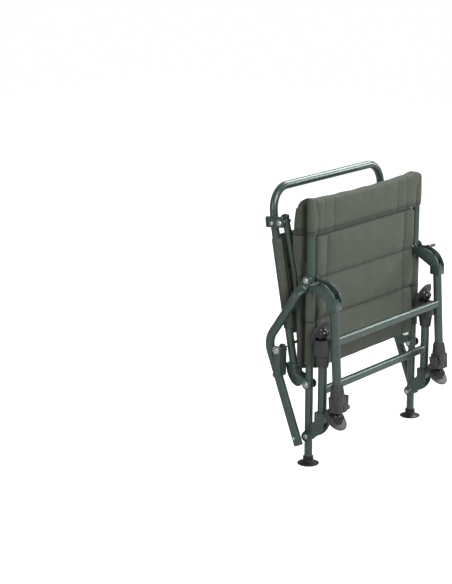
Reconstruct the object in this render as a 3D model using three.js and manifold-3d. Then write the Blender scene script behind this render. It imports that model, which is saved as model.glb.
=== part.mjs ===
import * as THREE from 'three';
import { mergeVertices } from 'three/addons/utils/BufferGeometryUtils.js';
import Module from 'manifold-3d';

// Folding carp chair, folded flat and standing on the two discs at the rear ends of its seat rails.
// Millimetres. X runs across the chair, -Y is the underside of the seat, Z is up and 0 is the ground.

const wasm = await Module();
wasm.setup();

// Clearances and facets
const gap = 0.3;
const overrun = 3;
const weldDistance = 0.0005;
const tubeSides = 12;
const boltSides = 8;
const discSides = 20;
const bendSteps = 4;
const cornerSteps = 3;
const outlineSteps = 8;
const socketSteps = 4;
const ballSides = 12;
const ballRings = 8;

// Tubes
const railRadius = 11;
const legRadius = 12.5;
const armRadius = 12.5;
const stayRadius = 10;
const innerLegRadius = 10.2;
const tubeWall = 1.5;
const barWall = 1.3;
const ventRadius = 2.5;
const plate = 2.5;

// Seat frame
const railSpacing = 516;
const railFootHeight = 6.3;
const seatFrontHeight = 724;
const frameCornerRadius = 60;
const rearPivotHeight = 80;
const backPivotHeight = 229;
const frontPivotHeight = 521;

// Rear ends of the seat rails
const railFoot = {
	radius: 30, rim: 2.5, shoulder: 24, rise: 5.5, collar: 14.5, neck: 8.5, height: 22, lip: 1,
};

// Pivot bolts
const boltRadius = 4;
const bolt = {
	head: 7.5, headHeight: 3.5, washer: 9, washerHeight: 1.2, nut: 7, nutHeight: 6,
	crownShare: 0.7, brimShare: 0.4, nutBrimShare: 0.7, nutTopShare: 0.75,
};

// Leg frames: u runs from the pivot along the seat rails to the foot, v away from the rails
const earRadius = 14;
const earTurnShare = 0.75;
const frontLeg = {
	offset: 74.1, lean: THREE.MathUtils.degToRad(3.6), tubeStart: 42, sleeveStart: 50, sleeveEnd: 73,
	webReach: 13, webRise: 25, mouthNear: 46, mouthNearRise: -6, mouthFar: 82, mouthFarRise: 8, mouthEnd: 46,
	crossbar: 160, clampStart: 278, footTilt: THREE.MathUtils.degToRad(43),
};
const rearLeg = {
	offset: 44, lean: 0, tubeStart: 48, sleeveStart: 52, sleeveEnd: 77,
	webReach: 13, webRise: 42, mouthNear: 24, mouthNearRise: -2, mouthFar: 52, mouthFarRise: 14, mouthEnd: 40,
	crossbar: 138, clampStart: 205, footTilt: THREE.MathUtils.degToRad(54),
};
const crossbar = { depth: 18, height: 22, corner: 5 };

// Cam clamp at the end of each outer leg tube
const clamp = {
	collarLength: 33, collarTop: 15.4, collarBase: 19.5, boxWidth: 40, boxDepth: 38, boxLength: 42,
	boxCorner: 7,
	slotWidth: 3, slotStart: 9, slotLength: 16, earThickness: 5, pinRadius: 2.5, pinFromEnd: 9,
	lip: 2, tubeStopShare: 0.35,
};
const lever = {
	barrel: 6.5, width: 24, thickness: 6, length: 37, tipFlare: 3, side: 0.6,
	bendShare: 1.5, tipShare: 0.6, waistShare: 0.5, heelShare: 0.9,
};

// Swivelling mud foot
const mudFoot = {
	ball: 9, ballDrop: 15, neck: 4, neckLength: 14, cup: 12.2, cupRim: 1, radius: 32, top: 9, base: 13, rim: 2,
};
const innerLegLength = 185;

// Lock pin through the front leg bracket
const lockPin = {
	v: 34, u: 3, stub: 3, stubEnd: 1, grip: 5, collar: 6.5, collarLength: 5, length: 38, tip: 2,
	waistShare: 0.8, taperShare: 1.3, endShare: 0.7,
};

// Backrest
const backOffset = 44.2;
const backLean = THREE.MathUtils.degToRad(10.3);
const backTubeStart = 24;
const backSleeveStart = 26;
const backSleeveEnd = 50;
const backTopHeight = 752;
const backKinkDrop = 97;
const backTopDepth = 129;
const backKinkRadius = 120;
const backBracket = {
	webReach: 13, webRise: 17, mouthNear: 24, mouthNearRise: -18, mouthFar: 50, mouthFarRise: -12,
	mouthEnd: 24,
};

// Bowed stays between the backrest and the armrests
const stayPlate = { thickness: 3, height: 30, overhang: 10, corner: 4, shoulder: 7 };
const stayPivotDrop = 88;
const stayPivot = { y: 95, z: backTopHeight - stayPivotDrop };
const stayInset = 14.5;
const stay = {
	topY: 97.2, topRise: 12, bowY: 59.3, bowZ: 533, endY: 41.1, endZ: 331, bowRadius: 800,
	pin: 4, pinReach: 11.9,
};
const stayPinSeat = { y: 42, z: 341 };
const stayCap = { radius: 12, dome: 8, rim: 1, crownShare: 0.8, brimShare: 0.7 };

// Armrests
const armOffset = 34;
const armFlat = {
	thickness: 5, half: 14, taper: 46,
	sections: [
		{ reach: -13, widthShare: 0.35, roundShare: 0 },
		{ reach: -9, widthShare: 0.72, roundShare: 0 },
		{ reach: 0, widthShare: 1, roundShare: 0 },
		{ reach: 16, widthShare: 1, roundShare: 0 },
		{ reach: 31, widthShare: 0.95, roundShare: 0.45 },
	],
};
const armPath = { kneeY: 36, kneeZ: 455, elbowY: 115, elbowZ: 340, endY: 9.5, endZ: 62.5, elbowRadius: 58 };
const armPlug = { length: 3, stub: 12, lip: 0.4, chamfer: 1 };
const reclineRail = {
	y: 76, z: 320, head: 13, footY: 64, footZ: 247, waistY: 73, waistZ: 284, backY: 83, backZ: 262,
	washerInset: 2,
};
const railBolt = { y: 81.7, z: 250, brimShare: 0.85, crownShare: 0.6 };
const knob = { radius: 10.5, lobe: 2.2, lobes: 6, lobePoints: 4, thickness: 5.6, boreShare: 0.7 };

// Covers and foam: each pad has a narrow under face between the tubes and a wide boxed face over them
const cover = 2;
const coverRadius = railRadius + gap + cover;
const padFrontDrop = 89.6;
const pocketDepth = 89;
const pocketCorner = 22;
const backPadDrop = 348;
const pad = { along: 5, across: 6, pocketAcross: 8, edge: 2, tubeTab: 3 };
const seatPad = {
	low: 268, high: seatFrontHeight - padFrontDrop, seams: [402, 518], sideSeam: 68,
	underInset: 25, underEdge: 1, under: 11, ledge: 14.4, overInset: 0, over: 10,
	brimLow: 28.5, brimHigh: 42, brimFrom: 395, brimTo: 560, sleeveLow: 284, sleeveHigh: 488,
};
const seatPocket = {
	low: seatFrontHeight - pocketDepth, high: seatFrontHeight + coverRadius, seams: [], sideSeam: 0,
	underInset: -10, underEdge: 3, under: 8, ledge: 1, overInset: -4, over: 6,
	brimLow: 42, brimHigh: 34, brimFrom: seatFrontHeight - pocketDepth, brimTo: seatFrontHeight,
};
const backPad = {
	low: 128, high: backTopHeight - backPadDrop, seams: [220, 312], sideSeam: 62,
	underInset: 25, underEdge: 3, under: 14, ledge: 4, overInset: 20, over: 7,
	brimLow: 7, brimHigh: 7, brimFrom: 128, brimTo: 404, sleeveLow: 148, sleeveHigh: 394,
};

// Sizes that follow from the ones above
const railX = railSpacing / 2;
const bracketInner = legRadius + gap;
const bracketOuter = bracketInner + plate;
const backKinkHeight = backTopHeight - backKinkDrop;
const Y = new THREE.Vector3(0, 1, 0);
const Z = new THREE.Vector3(0, 0, 1);
const X = new THREE.Vector3(1, 0, 0);
const sideways = new THREE.Matrix4().makeBasis(Y, Z, X);

// Finishes
const paint = new THREE.MeshStandardMaterial({ color: 0x5f7069, roughness: 0.42, metalness: 0.35 });
const fabric = new THREE.MeshStandardMaterial({ color: 0x6b6f60, roughness: 0.95, metalness: 0 });
const plastic = new THREE.MeshStandardMaterial({ color: 0x3b3b40, roughness: 0.55, metalness: 0 });
const rubber = new THREE.MeshStandardMaterial({ color: 0x4a474b, roughness: 0.8, metalness: 0 });
const zinc = new THREE.MeshStandardMaterial({ color: 0xc9cdcf, roughness: 0.3, metalness: 0.9 });

// A path of straight runs joined by round bends, sampled only where it turns
class BentPath extends THREE.Curve {
	constructor(corners, radius, steps = bendSteps) {
		super();
		const first = corners[1].clone().sub(corners[0]).normalize();
		this.stations = [{ at: corners[0], along: first }];
		for (let i = 1; i < corners.length - 1; i++) {
			const before = corners[i].clone().sub(corners[i - 1]).normalize();
			const after = corners[i + 1].clone().sub(corners[i]).normalize();
			const turn = before.angleTo(after);
			const axis = before.clone().cross(after).normalize();
			const bend = Array.isArray(radius) ? radius[i - 1] : radius;
			const start = corners[i].clone().addScaledVector(before, -bend * Math.tan(turn / 2));
			const centre = start.clone().addScaledVector(axis.clone().cross(before), bend);
			const spoke = start.clone().sub(centre);
			for (let step = 0; step <= steps; step++) {
				const angle = turn * step / steps;
				const at = spoke.clone().applyAxisAngle(axis, angle).add(centre);
				this.stations.push({ at, along: before.clone().applyAxisAngle(axis, angle) });
			}
		}
		const end = corners.length - 1;
		const last = corners[end].clone().sub(corners[end - 1]).normalize();
		this.stations.push({ at: corners[end], along: last });
	}

	get steps() {
		return this.stations.length - 1;
	}

	getPoint(t) {
		return this.stations[Math.round(t * this.steps)].at.clone();
	}

	getPointAt(t) {
		return this.getPoint(t);
	}

	getTangent(t) {
		return this.stations[Math.round(t * this.steps)].along.clone();
	}

	getTangentAt(t) {
		return this.getTangent(t);
	}
}

// Boolean work on closed solids
function solidOf(geometry) {
	const bare = geometry.clone();
	bare.deleteAttribute('normal');
	bare.deleteAttribute('uv');
	const merged = mergeVertices(bare, weldDistance);
	const vertProperties = new Float32Array(merged.attributes.position.array);
	const triVerts = new Uint32Array(merged.index.array);
	return new wasm.Manifold(new wasm.Mesh({ numProp: 3, vertProperties, triVerts }));
}

function geometryOf(solid) {
	const mesh = solid.getMesh();
	const geometry = new THREE.BufferGeometry();
	geometry.setAttribute('position', new THREE.BufferAttribute(new Float32Array(mesh.vertProperties), 3));
	geometry.setIndex(Array.from(mesh.triVerts));
	return geometry;
}

function combine(bodies, cutters = []) {
	let whole = solidOf(bodies[0]);
	for (const body of bodies.slice(1)) {
		whole = whole.add(solidOf(body));
	}
	for (const cutter of cutters) {
		whole = whole.subtract(solidOf(cutter));
	}
	return geometryOf(whole);
}

function common(first, second) {
	return geometryOf(solidOf(first).intersect(solidOf(second)));
}

function mirrored(geometry) {
	const flipped = geometry.index ? geometry.clone() : mergeVertices(geometry, weldDistance);
	flipped.deleteAttribute('normal');
	flipped.scale(-1, 1, 1);
	const index = flipped.index.array;
	for (let i = 0; i < index.length; i += 3) {
		[index[i], index[i + 1]] = [index[i + 1], index[i]];
	}
	return flipped;
}

// Basic bodies
function circle(radius) {
	return new THREE.Shape().absarc(0, 0, radius, 0, 2 * Math.PI, false);
}

function ring(radius, bore) {
	const shape = circle(radius);
	shape.holes.push(new THREE.Path().absarc(0, 0, bore, 0, 2 * Math.PI, true));
	return shape;
}

function swept(shape, path, sides = tubeSides) {
	return new THREE.ExtrudeGeometry(shape, { steps: path.steps, extrudePath: path, curveSegments: sides / 2 });
}

function roundBar(radius, from, to, axis = Z, sides = tubeSides) {
	const bar = new THREE.CylinderGeometry(radius, radius, to - from, sides);
	bar.translate(0, (to + from) / 2, 0);
	bar.applyQuaternion(new THREE.Quaternion().setFromUnitVectors(Y, axis));
	return bar;
}

function clearBore(radius, sides = tubeSides) {
	return (radius + gap) / Math.cos(Math.PI / sides);
}

function boltHole(y, z, from, to) {
	return roundBar(clearBore(boltRadius, boltSides), from, to, X, boltSides).translate(0, y, z);
}

function roundedRectangle(width, height, corner) {
	const shape = new THREE.Shape();
	const w = width / 2;
	const h = height / 2;
	shape.moveTo(w, h - corner);
	shape.absarc(w - corner, h - corner, corner, 0, Math.PI / 2, false);
	shape.absarc(corner - w, h - corner, corner, Math.PI / 2, Math.PI, false);
	shape.absarc(corner - w, corner - h, corner, Math.PI, 1.5 * Math.PI, false);
	shape.absarc(w - corner, corner - h, corner, 1.5 * Math.PI, 2 * Math.PI, false);
	return shape;
}

function prism(shape, depth, segments = cornerSteps) {
	return new THREE.ExtrudeGeometry(shape, { depth, bevelEnabled: false, curveSegments: segments });
}

// An outline in the side view, extruded across the chair between two planes
function sidePlate(shape, from, to, segments = cornerSteps) {
	return prism(shape, to - from, segments).applyMatrix4(sideways).translate(from, 0, 0);
}

function block(width, depth, height, x, y, z) {
	return new THREE.BoxGeometry(width, depth, height).translate(x, y, z);
}

// Cap-headed bolt lying along X, head at its low end, nut at its high end
function pivotBolt(from, to, shoulder = null) {
	const headEnd = from - bolt.washerHeight;
	const nutStart = to;
	const profile = [
		new THREE.Vector2(0, headEnd - bolt.headHeight),
		new THREE.Vector2(bolt.head * bolt.crownShare, headEnd - bolt.headHeight),
		new THREE.Vector2(bolt.head, headEnd - bolt.headHeight * bolt.brimShare),
		new THREE.Vector2(bolt.head, headEnd),
		new THREE.Vector2(bolt.washer, headEnd),
		new THREE.Vector2(bolt.washer, from),
		new THREE.Vector2(boltRadius, from),
		new THREE.Vector2(boltRadius, nutStart),
		new THREE.Vector2(bolt.nut, nutStart),
		new THREE.Vector2(bolt.nut, nutStart + bolt.nutHeight * bolt.nutBrimShare),
		new THREE.Vector2(bolt.nut * bolt.nutTopShare, nutStart + bolt.nutHeight),
		new THREE.Vector2(0, nutStart + bolt.nutHeight),
	];
	if (shoulder) {
		profile.splice(7, 0,
			new THREE.Vector2(boltRadius, shoulder.from),
			new THREE.Vector2(shoulder.radius, shoulder.from),
			new THREE.Vector2(shoulder.radius, shoulder.to),
			new THREE.Vector2(boltRadius, shoulder.to));
	}
	const body = new THREE.LatheGeometry(profile, boltSides);
	return body.applyQuaternion(new THREE.Quaternion().setFromUnitVectors(Y, X));
}

// Pressed channel bracket, in the (v, u) side view of the frame it carries
function channelOutline(frame, inset) {
	const axisV = (u) => frame.offset + u * Math.tan(frame.lean);
	const shape = new THREE.Shape();
	const slope = Math.atan2(
		axisV(frame.sleeveStart) - bracketOuter - frame.webReach, frame.sleeveStart - frame.webRise);
	const shiftV = inset * Math.cos(slope);
	const shiftU = -inset * Math.sin(slope);
	const open = inset > 0 ? earRadius + overrun : 0;
	const back = -Math.PI * earTurnShare;
	if (inset > 0) {
		shape.moveTo(-open, -open);
		shape.lineTo(frame.mouthFar + open, -open);
		shape.lineTo(axisV(frame.mouthEnd) + bracketOuter + open, frame.sleeveStart);
		shape.lineTo(axisV(frame.sleeveStart) - bracketOuter + shiftV, frame.sleeveStart);
		shape.lineTo(frame.webReach + shiftV, frame.webRise + shiftU + overrun);
		shape.lineTo(frame.webReach + shiftV, frame.webRise + open);
		shape.lineTo(-open, frame.webRise + open);
		return shape;
	}
	const reach = axisV(frame.sleeveEnd);
	shape.absarc(0, 0, earRadius, back - Math.PI / 2, 0, false);
	shape.bezierCurveTo(
		frame.mouthNear, frame.mouthNearRise, frame.mouthFar, frame.mouthFarRise,
		axisV(frame.mouthEnd) + bracketOuter, frame.mouthEnd);
	shape.lineTo(reach + bracketOuter, frame.sleeveEnd);
	shape.lineTo(reach - bracketOuter, frame.sleeveEnd);
	shape.lineTo(axisV(frame.sleeveStart) - bracketOuter, frame.sleeveStart);
	return shape;
}

function channelBracket(frame) {
	const body = sidePlate(channelOutline(frame, 0), -bracketOuter, bracketOuter, outlineSteps);
	const cavity = sidePlate(channelOutline(frame, plate), -bracketInner, bracketInner);
	const tubeBore = roundBar(clearBore(frame.tube), 0, frame.sleeveEnd + earRadius);
	tubeBore.rotateX(-frame.lean).translate(0, frame.offset, 0);
	const pivotBore = boltHole(0, 0, -bracketOuter - overrun, bracketOuter + overrun);
	return combine([body], [cavity, tubeBore, pivotBore]);
}

// A closed body through rings of points, with a flat cap at each end
function loft(rings, capPlane) {
	const positions = rings.flat().flatMap((point) => [point.x, point.y, point.z]);
	const size = rings[0].length;
	const index = [];
	for (let row = 0; row < rings.length - 1; row++) {
		for (let i = 0; i < size; i++) {
			const a = row * size + i;
			const b = row * size + (i + 1) % size;
			index.push(a, b, b + size, a, b + size, a + size);
		}
	}
	const top = (rings.length - 1) * size;
	for (const face of THREE.ShapeUtils.triangulateShape(rings[0].map(capPlane), [])) {
		index.push(face[2], face[1], face[0]);
	}
	for (const face of THREE.ShapeUtils.triangulateShape(rings[rings.length - 1].map(capPlane), [])) {
		index.push(top + face[0], top + face[1], top + face[2]);
	}
	const geometry = new THREE.BufferGeometry();
	geometry.setAttribute('position', new THREE.Float32BufferAttribute(positions, 3));
	geometry.setIndex(index);
	return geometry;
}

// Sewn pad: both faces swell between their seams and are drawn in at them and at the edge
function seamLines(stops, perRun) {
	const lines = [stops[0]];
	for (let i = 1; i < stops.length; i++) {
		for (let step = 1; step <= perRun; step++) {
			const share = (1 - Math.cos(Math.PI * step / perRun)) / 2;
			lines.push(THREE.MathUtils.lerp(stops[i - 1], stops[i], share));
		}
	}
	return lines;
}

function swell(value, stops) {
	let run = 0;
	while (run < stops.length - 2 && value > stops[run + 1]) {
		run++;
	}
	const share = (value - stops[run]) / (stops[run + 1] - stops[run]);
	return Math.sqrt(Math.max(0, 4 * share * (1 - share)));
}

function sewnPad(panel, across = pad.across) {
	const zStops = [panel.low, ...panel.seams, panel.high];
	const half = railX - panel.underInset;
	const xStops = panel.sideSeam ? [-half, panel.sideSeam - half, half - panel.sideSeam, half] : [-half, half];
	const inner = panel.sideSeam ? xStops.slice(1, -1) : xStops;
	const middle = seamLines(inner, across);
	const nearEdge = panel.sideSeam ? seamLines(xStops.slice(0, 2), pad.edge) : [];
	const farEdge = panel.sideSeam ? seamLines(xStops.slice(2), pad.edge) : [];
	const xLines = [...nearEdge.slice(0, -1), ...middle, ...farEdge.slice(1)];
	const spread = (railX - panel.overInset) / half;
	const rings = seamLines(zStops, pad.along).map((z) => {
		const share = THREE.MathUtils.smoothstep(z, panel.brimFrom, panel.brimTo);
		const brim = THREE.MathUtils.lerp(panel.brimLow, panel.brimHigh, share);
		const underRise = panel.under * swell(z, zStops);
		const overRise = panel.over * swell(z, [panel.low, panel.high]);
		const underFace = xLines.map((x) => new THREE.Vector3(
			x, -panel.underEdge - underRise * Math.sqrt(swell(x, xStops)), z));
		const overFace = xLines.map((x) => new THREE.Vector3(
			x * spread, brim + overRise * swell(x, [-half, half]), z)).reverse();
		const ledge = panel.ledge;
		return [
			...underFace, new THREE.Vector3(half, ledge, z), new THREE.Vector3(half * spread, ledge + cover, z),
			...overFace, new THREE.Vector3(-half * spread, ledge + cover, z), new THREE.Vector3(-half, ledge, z),
		];
	});
	return loft(rings, (point) => new THREE.Vector2(point.x, point.y));
}

// A pad with a sleeve of the same cloth round each side tube
function sleevedPad(panel) {
	const bodies = [sewnPad(panel)];
	const cutters = [];
	const length = panel.sleeveHigh - panel.sleeveLow;
	for (const side of [-1, 1]) {
		const sleeve = roundBar(coverRadius, panel.sleeveLow, panel.sleeveHigh).translate(side * railX, 0, 0);
		const tabWidth = panel.underInset + cover;
		const tabX = side * (railX - tabWidth / 2);
		const tab = block(tabWidth, 2 * pad.tubeTab, length, tabX, 0, (panel.sleeveLow + panel.sleeveHigh) / 2);
		bodies.push(sleeve, tab);
		const bore = roundBar(clearBore(railRadius), panel.sleeveLow - overrun, panel.sleeveHigh + overrun);
		cutters.push(bore.translate(side * railX, 0, 0));
	}
	return combine(bodies, cutters);
}

// The scene
const chair = new THREE.Group();

function add(parent, name, geometry, material) {
	const flat = geometry.index ? geometry.toNonIndexed() : geometry;
	flat.computeVertexNormals();
	const mesh = new THREE.Mesh(flat, material);
	mesh.name = name;
	parent.add(mesh);
	return mesh;
}

function addPair(parent, name, geometry, material) {
	add(parent, `${name}_left`, geometry, material);
	add(parent, `${name}_right`, mirrored(geometry), material);
}

// Seat frame: one tube bent twice, drilled for the three pairs of pivots
function seatPath(end) {
	return new BentPath([
		new THREE.Vector3(-railX, 0, end),
		new THREE.Vector3(-railX, 0, seatFrontHeight),
		new THREE.Vector3(railX, 0, seatFrontHeight),
		new THREE.Vector3(railX, 0, end),
	], frameCornerRadius);
}

function seatFrame() {
	const tube = swept(ring(railRadius, railRadius - tubeWall), seatPath(railFootHeight));
	const holes = [rearPivotHeight, backPivotHeight, frontPivotHeight].map(
		(height) => boltHole(0, height, -railX - railRadius - overrun, railX + railRadius + overrun));
	return combine([tube], holes);
}

function railFootDisc() {
	const bore = clearBore(railRadius);
	const profile = [
		new THREE.Vector2(0, 0),
		new THREE.Vector2(railFoot.radius, 0),
		new THREE.Vector2(railFoot.radius, railFoot.rim),
		new THREE.Vector2(railFoot.shoulder, railFoot.rise),
		new THREE.Vector2(railFoot.collar, railFoot.neck),
		new THREE.Vector2(railFoot.collar, railFoot.height - railFoot.lip),
		new THREE.Vector2(railFoot.collar - railFoot.lip, railFoot.height),
		new THREE.Vector2(bore, railFoot.height),
		new THREE.Vector2(bore, railFootHeight - gap),
		new THREE.Vector2(0, railFootHeight - gap),
	];
	return new THREE.LatheGeometry(profile, discSides).rotateX(Math.PI / 2);
}

function buildSeat() {
	add(chair, 'seat_frame', seatFrame(), paint);
	addPair(chair, 'rear_foot_disc', railFootDisc().translate(-railX, 0, 0), rubber);
	add(chair, 'seat_cushion', sleevedPad(seatPad), fabric);
	const pocketTube = swept(circle(coverRadius), seatPath(seatPocket.low));
	const pocketHeight = seatPocket.high - seatPocket.low;
	const front = roundedRectangle(2 * (railX + coverRadius), 2 * pocketHeight, pocketCorner);
	const frontRoom = prism(front, railSpacing).rotateX(Math.PI / 2).translate(0, railX, seatPocket.low);
	const pocketPanel = common(sewnPad(seatPocket, pad.pocketAcross), frontRoom);
	const pocketBore = swept(circle(clearBore(railRadius)), seatPath(seatPocket.low - overrun));
	add(chair, 'seat_pocket', combine([pocketTube, pocketPanel], [pocketBore]), fabric);
	const outside = -bracketOuter - gap;
	const inside = bracketOuter + gap;
	const armOutside = outside - armFlat.thickness - gap;
	const frontBolt = pivotBolt(armOutside, inside).translate(-railX, 0, frontPivotHeight);
	addPair(chair, 'front_pivot_bolt', frontBolt, zinc);
	addPair(chair, 'back_pivot_bolt', pivotBolt(outside, inside).translate(-railX, 0, backPivotHeight), zinc);
	addPair(chair, 'rear_pivot_bolt', pivotBolt(outside, inside).translate(-railX, 0, rearPivotHeight), zinc);
}

// Backrest: its lower tubes lean back from the pivots, its upper bow stands steeper
function backDepth(height) {
	return backOffset + (height - backPivotHeight) * Math.tan(backLean);
}

function backPath() {
	const startHeight = backPivotHeight + backTubeStart;
	const bends = [backKinkRadius, frameCornerRadius, frameCornerRadius, backKinkRadius];
	return new BentPath([
		new THREE.Vector3(-railX, backDepth(startHeight), startHeight),
		new THREE.Vector3(-railX, backDepth(backKinkHeight), backKinkHeight),
		new THREE.Vector3(-railX, backTopDepth, backTopHeight),
		new THREE.Vector3(railX, backTopDepth, backTopHeight),
		new THREE.Vector3(railX, backDepth(backKinkHeight), backKinkHeight),
		new THREE.Vector3(railX, backDepth(startHeight), startHeight),
	], bends);
}

function stayPlateOutline() {
	const tilt = backLean / 2;
	const tubeY = backDepth(stayPivot.z);
	const length = tubeY - stayPivot.y + 2 * stayPlate.overhang + railRadius;
	const centreY = (tubeY + stayPivot.y + railRadius / 2) / 2;
	const shape = roundedRectangle(length, stayPlate.height, stayPlate.corner);
	const body = sidePlate(shape, 0, stayPlate.thickness);
	return body.rotateX(-tilt).translate(0, centreY, stayPivot.z);
}

function buildBackrest() {
	const tube = swept(ring(railRadius, railRadius - tubeWall), backPath());
	add(chair, 'backrest_frame', tube, paint);
	const frame = { ...backBracket, offset: backOffset, lean: backLean, tube: railRadius,
		sleeveStart: backSleeveStart, sleeveEnd: backSleeveEnd };
	addPair(chair, 'backrest_bracket', channelBracket(frame).translate(-railX, 0, backPivotHeight), paint);
	const cushion = sleevedPad(backPad).rotateX(-backLean).translate(0, backOffset, backPivotHeight);
	add(chair, 'backrest_cushion', cushion, fabric);
	const plateInner = -railX - railRadius - gap;
	const hole = boltHole(stayPivot.y, stayPivot.z, -overrun, stayPlate.thickness + overrun);
	const stayPlateBody = combine([stayPlateOutline()], [hole]);
	addPair(chair, 'stay_plate', stayPlateBody.translate(plateInner - stayPlate.thickness, 0, 0), paint);
	const plateOuter = -railRadius - 2 * gap - stayPlate.thickness;
	const shoulder = { radius: stayPlate.shoulder, from: -railRadius, to: stayInset - stayRadius - gap };
	const stayBolt = pivotBolt(plateOuter, stayInset + stayRadius + gap, shoulder);
	addPair(chair, 'stay_pivot_bolt', stayBolt.translate(-railX, stayPivot.y, stayPivot.z), zinc);
}

// Bowed stays
function buildStays() {
	const x = stayInset - railX;
	const path = new BentPath([
		new THREE.Vector3(x, stay.topY, stayPivot.z + stay.topRise),
		new THREE.Vector3(x, stay.bowY, stay.bowZ),
		new THREE.Vector3(x, stay.endY, stay.endZ),
	], stay.bowRadius);
	const tube = swept(ring(stayRadius, stayRadius - tubeWall), path);
	const pin = roundBar(stay.pin, -railX - stay.pinReach, x, X, boltSides);
	pin.translate(0, stayPinSeat.y, stayPinSeat.z);
	const hole = boltHole(stayPivot.y, stayPivot.z, x - stayRadius - overrun, x + stayRadius + overrun);
	const bore = swept(circle(stayRadius - tubeWall), path);
	addPair(chair, 'stay_tube', combine([tube, pin], [hole, bore]), paint);
	const direction = path.stations[0].along.clone().negate();
	const cup = clearBore(stayRadius);
	const skirt = stay.topRise - bolt.washer;
	const profile = [
		new THREE.Vector2(0, gap),
		new THREE.Vector2(cup, gap),
		new THREE.Vector2(cup, -skirt),
		new THREE.Vector2(stayCap.radius, -skirt),
		new THREE.Vector2(stayCap.radius, stayCap.rim),
		new THREE.Vector2(stayCap.radius * stayCap.crownShare, stayCap.dome * stayCap.brimShare),
		new THREE.Vector2(0, stayCap.dome),
	];
	const cap = new THREE.LatheGeometry(profile, tubeSides);
	cap.applyQuaternion(new THREE.Quaternion().setFromUnitVectors(Y, direction));
	addPair(chair, 'stay_cap', cap.translate(x, stay.topY, stayPivot.z + stay.topRise), plastic);
}

// Armrests: a flattened end on the front pivot, a knee, an elbow and a plugged straight arm
function armShell(pivot, path) {
	const armX = path.stations[0].at.x;
	const lead = path.stations[0].along;
	const ringOf = (at, along, halfWide, halfThick) => {
		const across = along.clone().cross(X);
		const points = [];
		for (let i = 0; i < tubeSides; i++) {
			const angle = 2 * Math.PI * i / tubeSides;
			const point = at.clone().addScaledVector(across, halfWide * Math.cos(angle));
			points.push(point.addScaledVector(X, -halfThick * Math.sin(angle)));
		}
		return points;
	};
	const flatRings = armFlat.sections.map((section) => {
		const at = pivot.clone().addScaledVector(lead, section.reach);
		at.x = THREE.MathUtils.lerp(pivot.x, armX, section.roundShare);
		const halfThick = THREE.MathUtils.lerp(armFlat.thickness / 2, armRadius, section.roundShare);
		return ringOf(at, lead, armFlat.half * section.widthShare, halfThick);
	});
	const tubeRings = path.stations.map((station) => ringOf(station.at, station.along, armRadius, armRadius));
	return loft([...flatRings, ...tubeRings], (point) => new THREE.Vector2(-point.y, -point.x));
}

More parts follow.
